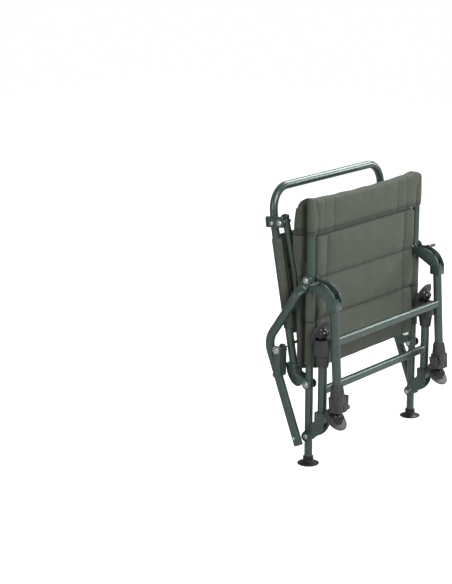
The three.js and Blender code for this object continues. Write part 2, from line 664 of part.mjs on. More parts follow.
function buildArmrests() {
	const armX = -railX - armOffset;
	const flatX = -railX - bracketOuter - gap - armFlat.thickness / 2;
	const pivot = new THREE.Vector3(flatX, 0, frontPivotHeight);
	const knee = new THREE.Vector3(armX, armPath.kneeY, armPath.kneeZ);
	const elbow = new THREE.Vector3(armX, armPath.elbowY, armPath.elbowZ);
	const end = new THREE.Vector3(armX, armPath.endY, armPath.endZ);
	const along = new THREE.Vector3(0, knee.y, knee.z - frontPivotHeight).normalize();
	const tubeStart = pivot.clone().addScaledVector(along, armFlat.taper).setX(armX);
	const path = new BentPath([tubeStart, knee, elbow, end], armPath.elbowRadius);
	const boreEnd = end.clone().add(end.clone().sub(elbow).setLength(overrun));
	const borePath = new BentPath([tubeStart, knee, elbow, boreEnd], armPath.elbowRadius);
	const bore = swept(circle(armRadius - tubeWall), borePath);
	const reach = armRadius + bracketOuter;
	const pivotHole = boltHole(0, frontPivotHeight, armX - reach, -railX);
	const armAlong = path.stations[path.steps].along;
	const armAcross = armAlong.clone().cross(X);
	const screwHole = roundBar(clearBore(boltRadius, boltSides), -reach, reach, armAcross, boltSides);
	screwHole.translate(armX, railBolt.y, railBolt.z);
	addPair(chair, 'armrest_tube', combine([armShell(pivot, path)], [bore, pivotHole, screwHole]), paint);

	const stub = armRadius - tubeWall - gap;
	const plugProfile = [
		new THREE.Vector2(0, -armPlug.stub),
		new THREE.Vector2(stub - armPlug.chamfer, -armPlug.stub),
		new THREE.Vector2(stub, armPlug.chamfer - armPlug.stub),
		new THREE.Vector2(stub, gap),
		new THREE.Vector2(armRadius + armPlug.lip, gap),
		new THREE.Vector2(armRadius + armPlug.lip, armPlug.length - armPlug.chamfer),
		new THREE.Vector2(armRadius - armPlug.chamfer, armPlug.length),
		new THREE.Vector2(0, armPlug.length),
	];
	const plug = new THREE.LatheGeometry(plugProfile, tubeSides);
	plug.applyQuaternion(new THREE.Quaternion().setFromUnitVectors(Y, armAlong));
	addPair(chair, 'armrest_plug', plug.translate(end.x, end.y, end.z), plastic);

	// Recline rail: a pressed channel astride the arm tube, its head reaching towards the elbow
	const r = reclineRail;
	const outline = new THREE.Shape();
	outline.absarc(r.y, r.z, r.head, 0, Math.PI, false);
	outline.lineTo(r.footY, r.footZ);
	outline.lineTo(r.backY, r.footZ - r.head / 2);
	outline.lineTo(r.backY + legRadius / 2, r.backZ - r.head);
	outline.lineTo(r.backY, r.backZ);
	outline.quadraticCurveTo(r.waistY + r.head / 2, r.waistZ, r.y + r.head, r.z);
	const halfRail = armRadius + gap + plate;
	const channel = sidePlate(outline, armX - halfRail, armX + halfRail, outlineSteps);
	const hollow = new THREE.Shape();
	hollow.moveTo(r.y - r.head + plate, r.z + r.head + overrun);
	hollow.lineTo(r.footY + plate, r.footZ - r.head);
	hollow.lineTo(r.backY + r.head * 2, r.footZ - r.head);
	hollow.lineTo(r.backY + r.head * 2, r.z + r.head + overrun);
	const inside = sidePlate(hollow, armX - armRadius - gap, armX + armRadius + gap);
	const tubeRoom = swept(circle(clearBore(armRadius)), path);
	const headHole = boltHole(r.y, r.z, armX - halfRail - overrun, armX + halfRail + overrun);
	addPair(chair, 'recline_rail', combine([channel], [inside, tubeRoom, headHole, screwHole]), paint);

	const screwHead = [
		new THREE.Vector2(0, -armRadius - plate - bolt.nutHeight / 2),
		new THREE.Vector2(boltRadius, -armRadius - plate - bolt.nutHeight / 2),
		new THREE.Vector2(boltRadius, armRadius + gap),
		new THREE.Vector2(bolt.head * railBolt.brimShare, armRadius + gap),
		new THREE.Vector2(bolt.head * railBolt.crownShare, armRadius + bolt.headHeight),
		new THREE.Vector2(0, armRadius + bolt.headHeight),
	];
	const screw = new THREE.LatheGeometry(screwHead, boltSides);
	screw.applyQuaternion(new THREE.Quaternion().setFromUnitVectors(Y, armAcross.clone().negate()));
	addPair(chair, 'rail_bolt', screw.translate(armX, railBolt.y, railBolt.z), zinc);

	// Recline bolt and its lobed knob
	const headSeat = -halfRail - gap;
	const boltProfile = [
		new THREE.Vector2(0, headSeat - bolt.washerHeight - bolt.headHeight),
		new THREE.Vector2(bolt.head * bolt.crownShare, headSeat - bolt.washerHeight - bolt.headHeight),
		new THREE.Vector2(bolt.head, headSeat - bolt.washerHeight - bolt.headHeight * bolt.brimShare),
		new THREE.Vector2(bolt.head, headSeat - bolt.washerHeight),
		new THREE.Vector2(r.head - r.washerInset, headSeat - bolt.washerHeight),
		new THREE.Vector2(r.head - r.washerInset, headSeat),
		new THREE.Vector2(boltRadius, headSeat),
		new THREE.Vector2(boltRadius, halfRail + gap + knob.thickness * knob.boreShare),
		new THREE.Vector2(0, halfRail + gap + knob.thickness * knob.boreShare),
	];
	const reclineBolt = new THREE.LatheGeometry(boltProfile, boltSides);
	reclineBolt.applyQuaternion(new THREE.Quaternion().setFromUnitVectors(Y, X));
	addPair(chair, 'recline_bolt', reclineBolt.translate(armX, r.y, r.z), zinc);
	const lobed = new THREE.Shape();
	const points = knob.lobePoints * knob.lobes;
	for (let i = 0; i < points; i++) {
		const angle = 2 * Math.PI * i / points;
		const radius = knob.radius + knob.lobe / 2 * Math.cos(angle * knob.lobes);
		const place = [radius * Math.cos(angle), radius * Math.sin(angle)];
		if (i) {
			lobed.lineTo(...place);
		} else {
			lobed.moveTo(...place);
		}
	}
	const knobBody = sidePlate(lobed, halfRail + gap, halfRail + gap + knob.thickness);
	const knobBore = roundBar(clearBore(boltRadius, boltSides), halfRail - overrun,
		halfRail + 2 * gap + knob.thickness * knob.boreShare, X, boltSides);
	addPair(chair, 'recline_knob', combine([knobBody], [knobBore]).translate(armX, r.y, r.z), plastic);
}

// Leg frames
function legFrame(leg) {
	const bodies = [];
	const bores = [];
	const tubeEnd = leg.clampStart + clamp.collarLength + clamp.boxLength * clamp.tubeStopShare;
	for (const side of [-1, 1]) {
		const place = (geometry) => geometry.rotateX(-leg.lean).translate(side * railX, leg.offset, 0);
		bodies.push(place(roundBar(legRadius, leg.tubeStart, tubeEnd)));
		bores.push(place(roundBar(legRadius - tubeWall, leg.tubeStart - overrun, tubeEnd + overrun)));
	}
	const span = railSpacing - 2 * (legRadius - tubeWall);
	const bar = prism(roundedRectangle(crossbar.depth, crossbar.height, crossbar.corner), span);
	const hollow = prism(roundedRectangle(crossbar.depth - 2 * barWall, crossbar.height - 2 * barWall,
		crossbar.corner - barWall), railSpacing - 2 * (legRadius + barWall));
	const barV = leg.offset + leg.crossbar * Math.tan(leg.lean);
	bar.applyMatrix4(sideways).translate(-span / 2, barV, leg.crossbar);
	hollow.applyMatrix4(sideways).translate(legRadius + barWall - railX, barV, leg.crossbar);
	const vent = roundBar(ventRadius, -railX, railX, X, boltSides).translate(0, barV, leg.crossbar);
	return combine([...bodies, bar], [...bores, hollow, vent]);
}

function clampBody(inward) {
	const c = clamp;
	const collar = new THREE.LatheGeometry([
		new THREE.Vector2(0, 0),
		new THREE.Vector2(c.collarTop, 0),
		new THREE.Vector2(c.collarTop + c.lip / 4, c.lip),
		new THREE.Vector2(c.collarBase, c.collarLength - c.lip),
		new THREE.Vector2(c.collarBase, c.collarLength + c.lip),
		new THREE.Vector2(0, c.collarLength + c.lip),
	], tubeSides).rotateX(Math.PI / 2);
	const box = prism(roundedRectangle(c.boxWidth, c.boxDepth, c.boxCorner), c.boxLength);
	box.translate(0, 0, c.collarLength);
	const total = c.collarLength + c.boxLength;
	const pinX = inward * (c.boxWidth / 2 + lever.barrel + gap);
	const pinZ = total - c.pinFromEnd;
	const bodies = [collar, box];
	for (const side of [-1, 1]) {
		const earY = side * (lever.width / 2 + gap + c.earThickness / 2);
		const ear = roundBar(lever.barrel, -c.earThickness / 2, c.earThickness / 2, Y, boltSides);
		bodies.push(ear.translate(pinX, earY, pinZ));
		const root = block(lever.barrel + c.boxCorner, c.earThickness, 2 * lever.barrel, 0, earY, pinZ);
		bodies.push(root.translate(pinX - inward * (lever.barrel + c.boxCorner) / 2, 0, 0));
	}
	bodies.push(roundBar(c.pinRadius, -lever.width / 2 - c.earThickness, lever.width / 2 + c.earThickness, Y,
		boltSides).translate(pinX, 0, pinZ));
	const tubeStop = c.collarLength + c.boxLength * c.tubeStopShare;
	const tubeRoom = roundBar(clearBore(legRadius), -overrun, tubeStop + gap);
	const innerRoom = roundBar(clearBore(innerLegRadius), -overrun, total + overrun);
	const slotMiddle = c.slotStart + c.slotLength / 2;
	const slot = block(c.slotWidth, c.collarBase * 2, c.slotLength, 0, c.collarBase, slotMiddle);
	const relief = block(c.slotWidth, c.boxDepth, c.boxLength, 0, c.boxDepth / 2, c.collarLength + c.boxLength);
	return combine(bodies, [tubeRoom, innerRoom, slot, relief]);
}

function leverBody(inward) {
	const shape = new THREE.Shape();
	const reach = lever.barrel;
	shape.absarc(0, 0, reach, -Math.PI / 2, Math.PI / 2, false);
	const tip = lever.length - reach;
	const bend = -reach * lever.bendShare;
	shape.bezierCurveTo(-reach, reach, bend, reach + lever.side, -tip, reach + lever.tipFlare);
	shape.lineTo(-tip, reach + lever.tipFlare - lever.thickness * lever.tipShare);
	shape.lineTo(-tip * lever.waistShare, reach - lever.thickness);
	shape.lineTo(-reach, -reach * lever.heelShare);
	const body = prism(shape, lever.width, outlineSteps).translate(0, 0, -lever.width / 2);
	const outward = X.clone().multiplyScalar(inward);
	body.applyMatrix4(new THREE.Matrix4().makeBasis(Z, outward, Y.clone().multiplyScalar(inward)));
	const bore = roundBar(clearBore(clamp.pinRadius, boltSides), -lever.width, lever.width, Y, boltSides);
	return combine([body], [bore]);
}

function innerLeg(ball) {
	const tube = roundBar(innerLegRadius, ball - innerLegLength, ball - mudFoot.neckLength);
	const neck = roundBar(mudFoot.neck, ball - mudFoot.neckLength - tubeWall, ball, Z, boltSides);
	const knuckle = new THREE.SphereGeometry(mudFoot.ball, ballSides, ballRings);
	knuckle.rotateX(Math.PI / 2).translate(0, 0, ball);
	const bore = roundBar(innerLegRadius - tubeWall, ball - innerLegLength - overrun,
		ball - mudFoot.neckLength - tubeWall);
	return combine([tube, neck, knuckle], [bore]);
}

function mudFootBody() {
	const m = mudFoot;
	const socket = m.ball + gap * 2;
	const profile = [];
	const open = Math.asin(m.cupRim / socket);
	for (let i = 0; i <= socketSteps; i++) {
		const angle = THREE.MathUtils.lerp(Math.PI / 2, -open, i / socketSteps);
		profile.push(new THREE.Vector2(i ? socket * Math.cos(angle) : 0, socket * Math.sin(angle)));
	}
	profile.push(
		new THREE.Vector2(m.cup, -m.cupRim),
		new THREE.Vector2(m.cup + m.rim, m.top - m.rim),
		new THREE.Vector2(m.radius - m.rim, m.top),
		new THREE.Vector2(m.radius, m.top + m.rim),
		new THREE.Vector2(m.radius, m.base),
		new THREE.Vector2(0, m.base));
	return new THREE.LatheGeometry(profile, discSides).rotateX(Math.PI / 2);
}

function buildLegs(leg, prefix, group, flip) {
	const frame = { ...leg, tube: legRadius };
	chair.add(group);
	add(group, `${prefix}_leg_frame`, legFrame(leg), paint);
	const bracket = channelBracket(frame);
	const ball = leg.clampStart + clamp.collarLength + clamp.boxLength + mudFoot.ballDrop;
	for (const side of [-1, 1]) {
		const name = side * flip < 0 ? 'left' : 'right';
		const hip = new THREE.Group();
		hip.position.set(side * railX, 0, 0);
		group.add(hip);
		const shank = new THREE.Group();
		shank.position.set(0, leg.offset, 0);
		shank.rotation.x = -leg.lean;
		hip.add(shank);
		add(shank, `${prefix}_clamp_${name}`, clampBody(-side), plastic).position.z = leg.clampStart;
		const catchLever = add(shank, `${prefix}_clamp_lever_${name}`, leverBody(-side), plastic);
		catchLever.position.set(-side * (clamp.boxWidth / 2 + lever.barrel + gap), 0,
			leg.clampStart + clamp.collarLength + clamp.boxLength - clamp.pinFromEnd);
		add(shank, `${prefix}_inner_leg_${name}`, innerLeg(ball), paint);
		const foot = add(shank, `${prefix}_mud_foot_${name}`, mudFootBody(), rubber);
		foot.position.z = ball;
		foot.rotation.x = leg.footTurn;
		add(hip, `${prefix}_bracket_${name}`, leg.lock ? lockedBracket(bracket, side) : bracket, paint);
		if (leg.lock) {
			add(hip, `lock_pin_${name}`, lockPinBody(side), plastic);
		}
	}
}

// Lock pin: its stub passes through the outer wall of the front leg bracket
function lockPinHole(side) {
	const hole = roundBar(clearBore(lockPin.stub, boltSides), 0, bracketOuter + overrun, X, boltSides);
	return (side < 0 ? mirrored(hole) : hole).translate(0, lockPin.v, lockPin.u);
}

function lockedBracket(bracket, side) {
	return combine([bracket], [lockPinHole(side)]);
}

function lockPinBody(side) {
	const start = bracketOuter + gap;
	const profile = [
		new THREE.Vector2(0, bracketInner - lockPin.stubEnd),
		new THREE.Vector2(lockPin.stub, bracketInner - lockPin.stubEnd),
		new THREE.Vector2(lockPin.stub, start),
		new THREE.Vector2(lockPin.collar, start),
		new THREE.Vector2(lockPin.collar, start + lockPin.collarLength),
		new THREE.Vector2(lockPin.grip * lockPin.waistShare, start + lockPin.collarLength * lockPin.taperShare),
		new THREE.Vector2(lockPin.grip, start + lockPin.length - lockPin.tip),
		new THREE.Vector2(lockPin.grip * lockPin.endShare, start + lockPin.length),
		new THREE.Vector2(0, start + lockPin.length),
	];
	const body = new THREE.LatheGeometry(profile, boltSides);
	body.applyQuaternion(new THREE.Quaternion().setFromUnitVectors(Y, X));
	return (side < 0 ? mirrored(body) : body).translate(0, lockPin.v, lockPin.u);
}

buildSeat();
buildBackrest();
buildStays();
buildArmrests();

// The front legs hang down from their pivots and the rear legs stand up from theirs
const frontLegs = new THREE.Group();
frontLegs.position.set(0, 0, frontPivotHeight);
frontLegs.rotation.x = Math.PI;
buildLegs({ ...frontLeg, footTurn: frontLeg.footTilt + frontLeg.lean, lock: true }, 'front', frontLegs, 1);

const rearLegs = new THREE.Group();
rearLegs.position.set(0, 0, rearPivotHeight);
rearLegs.rotation.z = Math.PI;
buildLegs({ ...rearLeg, footTurn: rearLeg.footTilt }, 'rear', rearLegs, -1);

// The origin lies on the ground under the middle of the folded chair's depth
const middle = new THREE.Box3().setFromObject(chair, true).getCenter(new THREE.Vector3());
for (const child of chair.children) {
	child.position.y -= middle.y;
}

export default chair;
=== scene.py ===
import math

import bmesh
import bpy
from mathutils import Matrix, Vector, noise


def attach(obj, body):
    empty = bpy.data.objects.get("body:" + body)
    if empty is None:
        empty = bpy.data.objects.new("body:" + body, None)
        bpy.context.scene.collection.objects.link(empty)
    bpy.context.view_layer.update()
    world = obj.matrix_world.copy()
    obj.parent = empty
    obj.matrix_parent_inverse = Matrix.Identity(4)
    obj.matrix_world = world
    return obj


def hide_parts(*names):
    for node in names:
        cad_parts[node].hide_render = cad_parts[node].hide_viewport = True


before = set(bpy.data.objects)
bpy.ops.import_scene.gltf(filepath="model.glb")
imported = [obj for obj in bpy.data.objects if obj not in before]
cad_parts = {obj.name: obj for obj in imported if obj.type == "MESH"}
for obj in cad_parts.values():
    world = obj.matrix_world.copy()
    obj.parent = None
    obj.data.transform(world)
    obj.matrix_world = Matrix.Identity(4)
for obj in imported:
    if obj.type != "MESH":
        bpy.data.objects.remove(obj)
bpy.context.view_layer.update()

# Seat tube: one steel tube bent twice into a bow, painted dark green with a faint hammered grain.
# Its two ends stand in the discs and its front bow is hidden under the cover. Sizes here and below are
# in millimetres from the tube's own line, which TUBE_LINE puts in its place.
MM = 0.001
TUBE_LINE = Vector((0, -13.57, 0))
ACROSS = Vector((1, 0, 0))
SIDES = (("left", -1), ("right", 1))
FULL_TURN = 2 * math.pi
RAIL_X = 258
RAIL_RADIUS = 11
SEAT_FOOT = 6.3
SEAT_TOP = 718
SEAT_CORNER = 60
TUBE_WALL = 1.5
TUBE_SIDES = 28
BEND_STEP = math.radians(7)
MOUTH_DEPTH = 14
SAME_POINT = 0.001


class Wire:
    """One output of a shader node, which sums, products and waves can be made from."""

    def __init__(self, finish, socket):
        self.finish = finish
        self.socket = socket

    def calc(self, operation, *terms):
        return self.finish.node("ShaderNodeMath", {"operation": operation}, dict(enumerate(terms)))

    def __add__(self, other):
        return self.calc("ADD", self, other)

    def __mul__(self, other):
        return self.calc("MULTIPLY", self, other)

    def __sub__(self, other):
        return self.calc("SUBTRACT", self, other)

    def __rsub__(self, other):
        return self.calc("SUBTRACT", other, self)

    def __abs__(self):
        return self.calc("ABSOLUTE", self)

    __radd__ = __add__
    __rmul__ = __mul__

    def wave(self, length):
        return self.calc("SINE", self * (FULL_TURN / length))


class Finish:
    """A material whose nodes are added one by one."""

    def __init__(self, name, **plain):
        self.material = bpy.data.materials.new(name)
        self.material.use_nodes = True
        self.tree = self.material.node_tree
        self.shader = self.tree.nodes["Principled BSDF"]
        for socket, value in plain.items():
            self.set(socket.replace("_", " "), value)
        self.spot = self.node("ShaderNodeTexCoord", output="Object")
        split = [self.node("ShaderNodeSeparateXYZ", {}, {0: self.spot}, axis) for axis in "XYZ"]
        self.x, self.y, self.z = split

    def node(self, kind, settings=None, inputs=None, output=0):
        made = self.tree.nodes.new(kind)
        for name, value in (settings or {}).items():
            setattr(made, name, value)
        for place, value in (inputs or {}).items():
            if isinstance(value, Wire):
                self.tree.links.new(value.socket, made.inputs[place])
            else:
                made.inputs[place].default_value = value
        return Wire(self, made.outputs[output])

    def set(self, socket, value):
        if isinstance(value, Wire):
            self.tree.links.new(value.socket, self.shader.inputs[socket])
        else:
            self.shader.inputs[socket].default_value = value

    def grain(self, scale, detail=2.0, stretch=None):
        spot = self.spot
        if stretch:
            spot = self.node("ShaderNodeVectorMath", {"operation": "MULTIPLY"}, {0: spot, 1: stretch})
        return self.node("ShaderNodeTexNoise", {}, {"Vector": spot, "Scale": scale, "Detail": detail})

    def between(self, share, low, high):
        """A plain value that runs from low to high as share goes from 0 to 1."""
        return self.node("ShaderNodeMapRange", {}, {"Value": share, "To Min": low, "To Max": high})

    def near(self, distance, close, far):
        """A share that falls smoothly from 1 to 0 as the distance grows from close to far."""
        return self.node("ShaderNodeMapRange", {"interpolation_type": "SMOOTHSTEP"},
                         {"Value": distance, "From Min": close, "From Max": far, "To Min": 1.0,
                          "To Max": 0.0})

    def tint(self, share, first, second):
        values = {0: share, 6: (*first, 1) if isinstance(first, tuple) else first,
                  7: (*second, 1) if isinstance(second, tuple) else second}
        return self.node("ShaderNodeMix", {"data_type": "RGBA"}, values, 2)

    def relief(self, height, distance, strength):
        self.set("Normal", self.node("ShaderNodeBump", {}, {"Height": height, "Distance": distance,
                                                            "Strength": strength}))


def mottled(name, dark, light, cloud, smooth, rough, wear, pits, depth, strength, **plain):
    """A finish whose colour and gloss vary with two grains (scale, detail), with fine pits all over."""
    finish = Finish(name, **plain)
    finish.set("Base Color", finish.tint(finish.grain(*cloud), dark, light))
    finish.set("Roughness", finish.between(finish.grain(*wear), smooth, rough))
    finish.relief(finish.grain(pits), depth, strength)
    return finish.material


PAINT = mottled("green_paint", dark=(0.075, 0.120, 0.103), light=(0.125, 0.178, 0.156), cloud=(45, 3),
                smooth=0.24, rough=0.40, wear=(210, 3), pits=300, depth=0.0002, strength=0.08,
                Metallic=0.55, Coat_Weight=0.5, Coat_Roughness=0.22)


def edges_of(verts):
    return list({edge for vert in verts for edge in vert.link_edges})


def points_of(edges):
    return list({vert for edge in edges for vert in edge.verts})


def aimed(spot, axis):
    """A place at a spot, with its Z along an axis."""
    return Matrix.Translation(spot) @ axis.to_track_quat("Z", "Y").to_matrix().to_4x4()


def run(bm, loop, move):
    """Carries an edge loop straight on and returns its new place."""
    grown = bmesh.ops.extrude_edge_only(bm, edges=loop)["geom"]
    verts = [item for item in grown if isinstance(item, bmesh.types.BMVert)]
    bmesh.ops.translate(bm, vec=move, verts=verts)
    return [item for item in grown if isinstance(item, bmesh.types.BMEdge)
            and all(vert in verts for vert in item.verts)]


def mouth(bm, loop, centre, inward, radius, wall):
    """Turns the end of a tube in over its wall and closes it some way down the bore."""
    loop = run(bm, loop, (0, 0, 0))
    share = (radius - wall) / radius
    bmesh.ops.scale(bm, vec=(share, share, share), space=Matrix.Translation(-centre), verts=points_of(loop))
    loop = run(bm, loop, inward * MOUTH_DEPTH)
    bmesh.ops.edgeloop_fill(bm, edges=loop)


def bent_tube(bm, radius, corners, bends=(), wall=TUBE_WALL, sides=TUBE_SIDES):
    """Adds a round tube through straight runs and round bends."""
    corners = [Vector(corner) for corner in corners]
    first = corners[0]
    along = (corners[1] - first).normalized()
    made = bmesh.ops.create_circle(bm, cap_ends=False, radius=radius, segments=sides,
                                   matrix=aimed(first, along))
    start = edges_of(made["verts"])
    loop = run(bm, start, (0, 0, 0))
    back = along.copy()
    at = first
    for bend, corner, after in zip(bends, corners[1:-1], corners[2:]):
        ahead = (after - corner).normalized()
        turn = along.angle(ahead)
        begin = corner - along * bend * math.tan(turn / 2)
        bmesh.ops.translate(bm, vec=begin - at, verts=points_of(loop))
        axis = along.cross(ahead).normalized()
        centre = begin + axis.cross(along) * bend
        steps = max(2, math.ceil(turn / BEND_STEP))
        spun = bmesh.ops.spin(bm, geom=loop, cent=centre, axis=axis, angle=turn, steps=steps)
        loop = [item for item in spun["geom_last"] if isinstance(item, bmesh.types.BMEdge)]
        loop = run(bm, loop, (0, 0, 0))
        at = centre + Matrix.Rotation(turn, 3, axis) @ (begin - centre)
        along = ahead
    bmesh.ops.translate(bm, vec=corners[-1] - at, verts=points_of(loop))
    mouth(bm, start, first, back, radius, wall)
    mouth(bm, loop, corners[-1], -along, radius, wall)


def settle(name, bm, material, body, replaced=(), crease=35, round_edges=0.0):
    """Turns a mesh, in millimetres from the seat tube's line, into a piece of the chair."""
    bmesh.ops.remove_doubles(bm, verts=bm.verts, dist=SAME_POINT)
    bmesh.ops.recalc_face_normals(bm, faces=bm.faces)
    bmesh.ops.translate(bm, vec=TUBE_LINE, verts=bm.verts)
    bmesh.ops.scale(bm, vec=(MM, MM, MM), verts=bm.verts)
    mesh = bpy.data.meshes.new(name)
    bm.to_mesh(mesh)
    bm.free()
    piece = bpy.data.objects.new(name, mesh)
    bpy.context.scene.collection.objects.link(piece)
    mesh.materials.append(material)
    if round_edges:
        rounding = piece.modifiers.new("rounding", "BEVEL")
        rounding.width = round_edges * MM
        rounding.segments = 2
        rounding.limit_method = "ANGLE"
        rounding.angle_limit = math.radians(crease)
        rounding.harden_normals = False
    mesh.polygons.foreach_set("use_smooth", [True] * len(mesh.polygons))
    if not round_edges:
        mesh.set_sharp_from_angle(angle=math.radians(crease))
    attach(piece, body)
    if replaced:
        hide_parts(*replaced)
    return piece


seat_tube = bmesh.new()
bent_tube(seat_tube, RAIL_RADIUS, [(-RAIL_X, 0, SEAT_FOOT), (-RAIL_X, 0, SEAT_TOP), (RAIL_X, 0, SEAT_TOP),
                                   (RAIL_X, 0, SEAT_FOOT)], (SEAT_CORNER, SEAT_CORNER))
settle("seat_tube", seat_tube, PAINT, "seat", ["seat_frame"])

# Disc feet of the seat tube: black moulded rubber, each a flat disc with a short collar.
# They are pushed on the two ends of the tube, and the folded chair stands on them.
SLACK = 0.3
DISC_BORE = RAIL_RADIUS + SLACK
DISC_PROFILE = [(0, 0), (29, 0), (30, 1), (30, 1.8), (29, 2.5), (24, 4.5), (17, 7), (14.5, 10.5),
                (14.5, 20.8), (13.3, 22), (DISC_BORE, 22), (DISC_BORE, 6), (0, 6)]
POLE_GAP = 0.0005

RUBBER = mottled("black_rubber", dark=(0.013, 0.013, 0.014), light=(0.028, 0.028, 0.030), cloud=(60, 3),
                 smooth=0.32, rough=0.50, wear=(240, 3), pits=900, depth=0.0002, strength=0.3)


def connected(seeds):
    """Every point joined by edges to the seeds."""
    found = set(seeds)
    fresh = found
    while fresh:
        fresh = set(points_of(edges_of(fresh))) - found
        found = found | fresh
    return list(found)


def turned(bm, profile, place, sides=32, sweep=FULL_TURN):
    """Adds a body turned about Z from a profile of (radius, height) stations, and puts it in its place."""
    spine = list(bmesh.ops.create_vert(bm, co=(profile[0][0], 0, profile[0][1]))["vert"])
    line = []
    for radius, height in profile[1:]:
        out = bmesh.ops.extrude_vert_indiv(bm, verts=[spine[-1]])
        out["verts"][0].co = (radius, 0, height)
        spine += out["verts"]
        line += out["edges"]
    bmesh.ops.spin(bm, geom=spine + line, cent=(0, 0, 0), axis=(0, 0, 1), angle=sweep, steps=sides,
                   use_merge=sweep == FULL_TURN)
    bmesh.ops.remove_doubles(bm, verts=connected(spine), dist=POLE_GAP)
    bmesh.ops.transform(bm, matrix=place, verts=connected([vert for vert in spine if vert.is_valid]))


for side, sign in SIDES:
    disc = bmesh.new()
    turned(disc, DISC_PROFILE, Matrix.Translation((sign * RAIL_X, 0, 0)), 40)
    settle(f"rear_disc_{side}", disc, RUBBER, "seat", [f"rear_foot_disc_{side}"])

# Pivot bolts: bright zinc cap bolts with a flanged round head outside and a hexagon nut inside.
# The front ones are longer, because the flattened end of an armrest turns on them too.
BOLT = {"shank": 4, "head": 7.5, "dome": 4.2, "flange": 9, "flange_height": 1.2, "nut": 7, "nut_height": 6,
        "nut_gap": 0.02, "nut_edge": 0.7}
DOME = ((0, 1), (0.45, 0.95), (0.8, 0.72), (0.97, 0.35), (1, 0))
EAR_FACE = 15.3 + SLACK
ARM_END = 5.6
FRONT_PIVOT = 521
BACK_PIVOT = 229
REAR_PIVOT = 80
PIVOTS = (("front_pivot", FRONT_PIVOT, EAR_FACE + ARM_END), ("back_pivot", BACK_PIVOT, EAR_FACE),
          ("rear_pivot", REAR_PIVOT, EAR_FACE))

ZINC = mottled("bright_zinc", dark=(0.62, 0.64, 0.66), light=(0.86, 0.87, 0.88), cloud=(300, 2),
               smooth=0.14, rough=0.32, wear=(700, 2), pits=1500, depth=0.0001, strength=0.25, Metallic=1.0)


def along_x(x, y, z, sign):
    """A place whose Z runs outwards across the chair."""
    return Matrix.Translation((x, y, z)) @ Matrix.Rotation(sign * math.pi / 2, 4, "Y")


def round_off(bm, edges, radius, segments=2):
    bmesh.ops.bevel(bm, geom=edges, offset=radius, segments=segments, profile=0.5, affect="EDGES",
                    material=-1)


def capped_bolt(bm, place, inner, outer, washer=BOLT["flange"], nut=True):
    """Adds a bolt from inner to outer along its place: nut at the inner end, domed head at the outer."""
    top = outer + BOLT["flange_height"]
    tip = inner - BOLT["nut_height"] * nut
    head = [(BOLT["head"] * wide, top + BOLT["dome"] * high) for wide, high in DOME]
    shank = [(washer, top), (washer, outer), (BOLT["shank"], outer), (BOLT["shank"], tip), (0, tip)]
    turned(bm, head + shank, place, 28)
    if nut:
        middle = Matrix.Translation((0, 0, inner - BOLT["nut_height"] / 2))
        made = bmesh.ops.create_cone(bm, cap_ends=True, segments=6, radius1=BOLT["nut"], radius2=BOLT["nut"],
                                     depth=BOLT["nut_height"] - BOLT["nut_gap"], matrix=place @ middle)
        round_off(bm, edges_of(made["verts"]), BOLT["nut_edge"])


for side, sign in SIDES:
    for name, height, reach in PIVOTS:
        bolt = bmesh.new()
        capped_bolt(bolt, along_x(sign * RAIL_X, 0, height, sign), -EAR_FACE, reach)
        settle(f"{name}_screw_{side}", bolt, ZINC, "seat", [f"{name}_bolt_{side}"], 30)

# Front and rear leg frames: two round tubes joined by a flattened cross tube, welded and painted.
# The leg tubes start inside their pressed brackets and end inside the clamps. Places along a leg are
# measured from its pivot.
LEG_RADIUS = 12.5
LEGS = {
    "front": {"pivot": FRONT_PIVOT, "down": -1, "offset": 74.1, "lean": math.radians(3.6), "start": 42,
              "cross": 160, "clamp": 278, "tilt": math.radians(43)},
    "rear": {"pivot": REAR_PIVOT, "down": 1, "offset": 44, "lean": 0.0, "start": 48, "cross": 138,
             "clamp": 205, "tilt": math.radians(66)},
}
TUBE_STOP = 47.7
CROSS = {"depth": 18, "height": 22, "corner": 6, "weld": 3}


def leg_place(leg, sign):
    """A place on the leg's axis: Z runs from the pivot to the foot, Y away from the seat's underside."""
    over = Matrix.Rotation(math.pi if leg["down"] < 0 else 0, 4, "X")
    facing = Matrix.Rotation(0 if leg["down"] < 0 else math.pi, 4, "Z")
    shank = Matrix.Translation((0, leg["offset"], 0)) @ Matrix.Rotation(-leg["lean"], 4, "X")
    return Matrix.Translation((sign * RAIL_X, 0, leg["pivot"])) @ facing @ over @ shank


for legs, leg in LEGS.items():
    leg_frame = bmesh.new()
    for side, sign in SIDES:
        place = leg_place(leg, sign)
        ends = [place @ Vector((0, 0, end)) for end in (leg["start"], leg["clamp"] + TUBE_STOP)]
        bent_tube(leg_frame, LEG_RADIUS, ends)
    middle = Matrix.Translation(leg_place(leg, 0) @ Vector((0, 0, leg["cross"])))
    length = 2 * (RAIL_X - LEG_RADIUS + CROSS["weld"])
    size = Matrix.Diagonal((length, CROSS["depth"], CROSS["height"], 1))
    bar = bmesh.ops.create_cube(leg_frame, size=1, matrix=middle @ size)
    long_edges = [edge for edge in edges_of(bar["verts"])
                  if abs(edge.verts[0].co.x - edge.verts[1].co.x) > RAIL_X]
    round_off(leg_frame, long_edges, CROSS["corner"], 5)
    settle(f"{legs}_legs_welded", leg_frame, PAINT, f"{legs}_legs", [f"{legs}_leg_frame"], 50)

# Pressed brackets: one bent steel plate each, with two ears round the pivot, a closed web and a sleeve
# that grips its tube. Painted like the tubes; the edges are rounded by the press and the paint.
PRESSED_EDGE = 0.9
FLAT_ANGLE = math.radians(0.5)


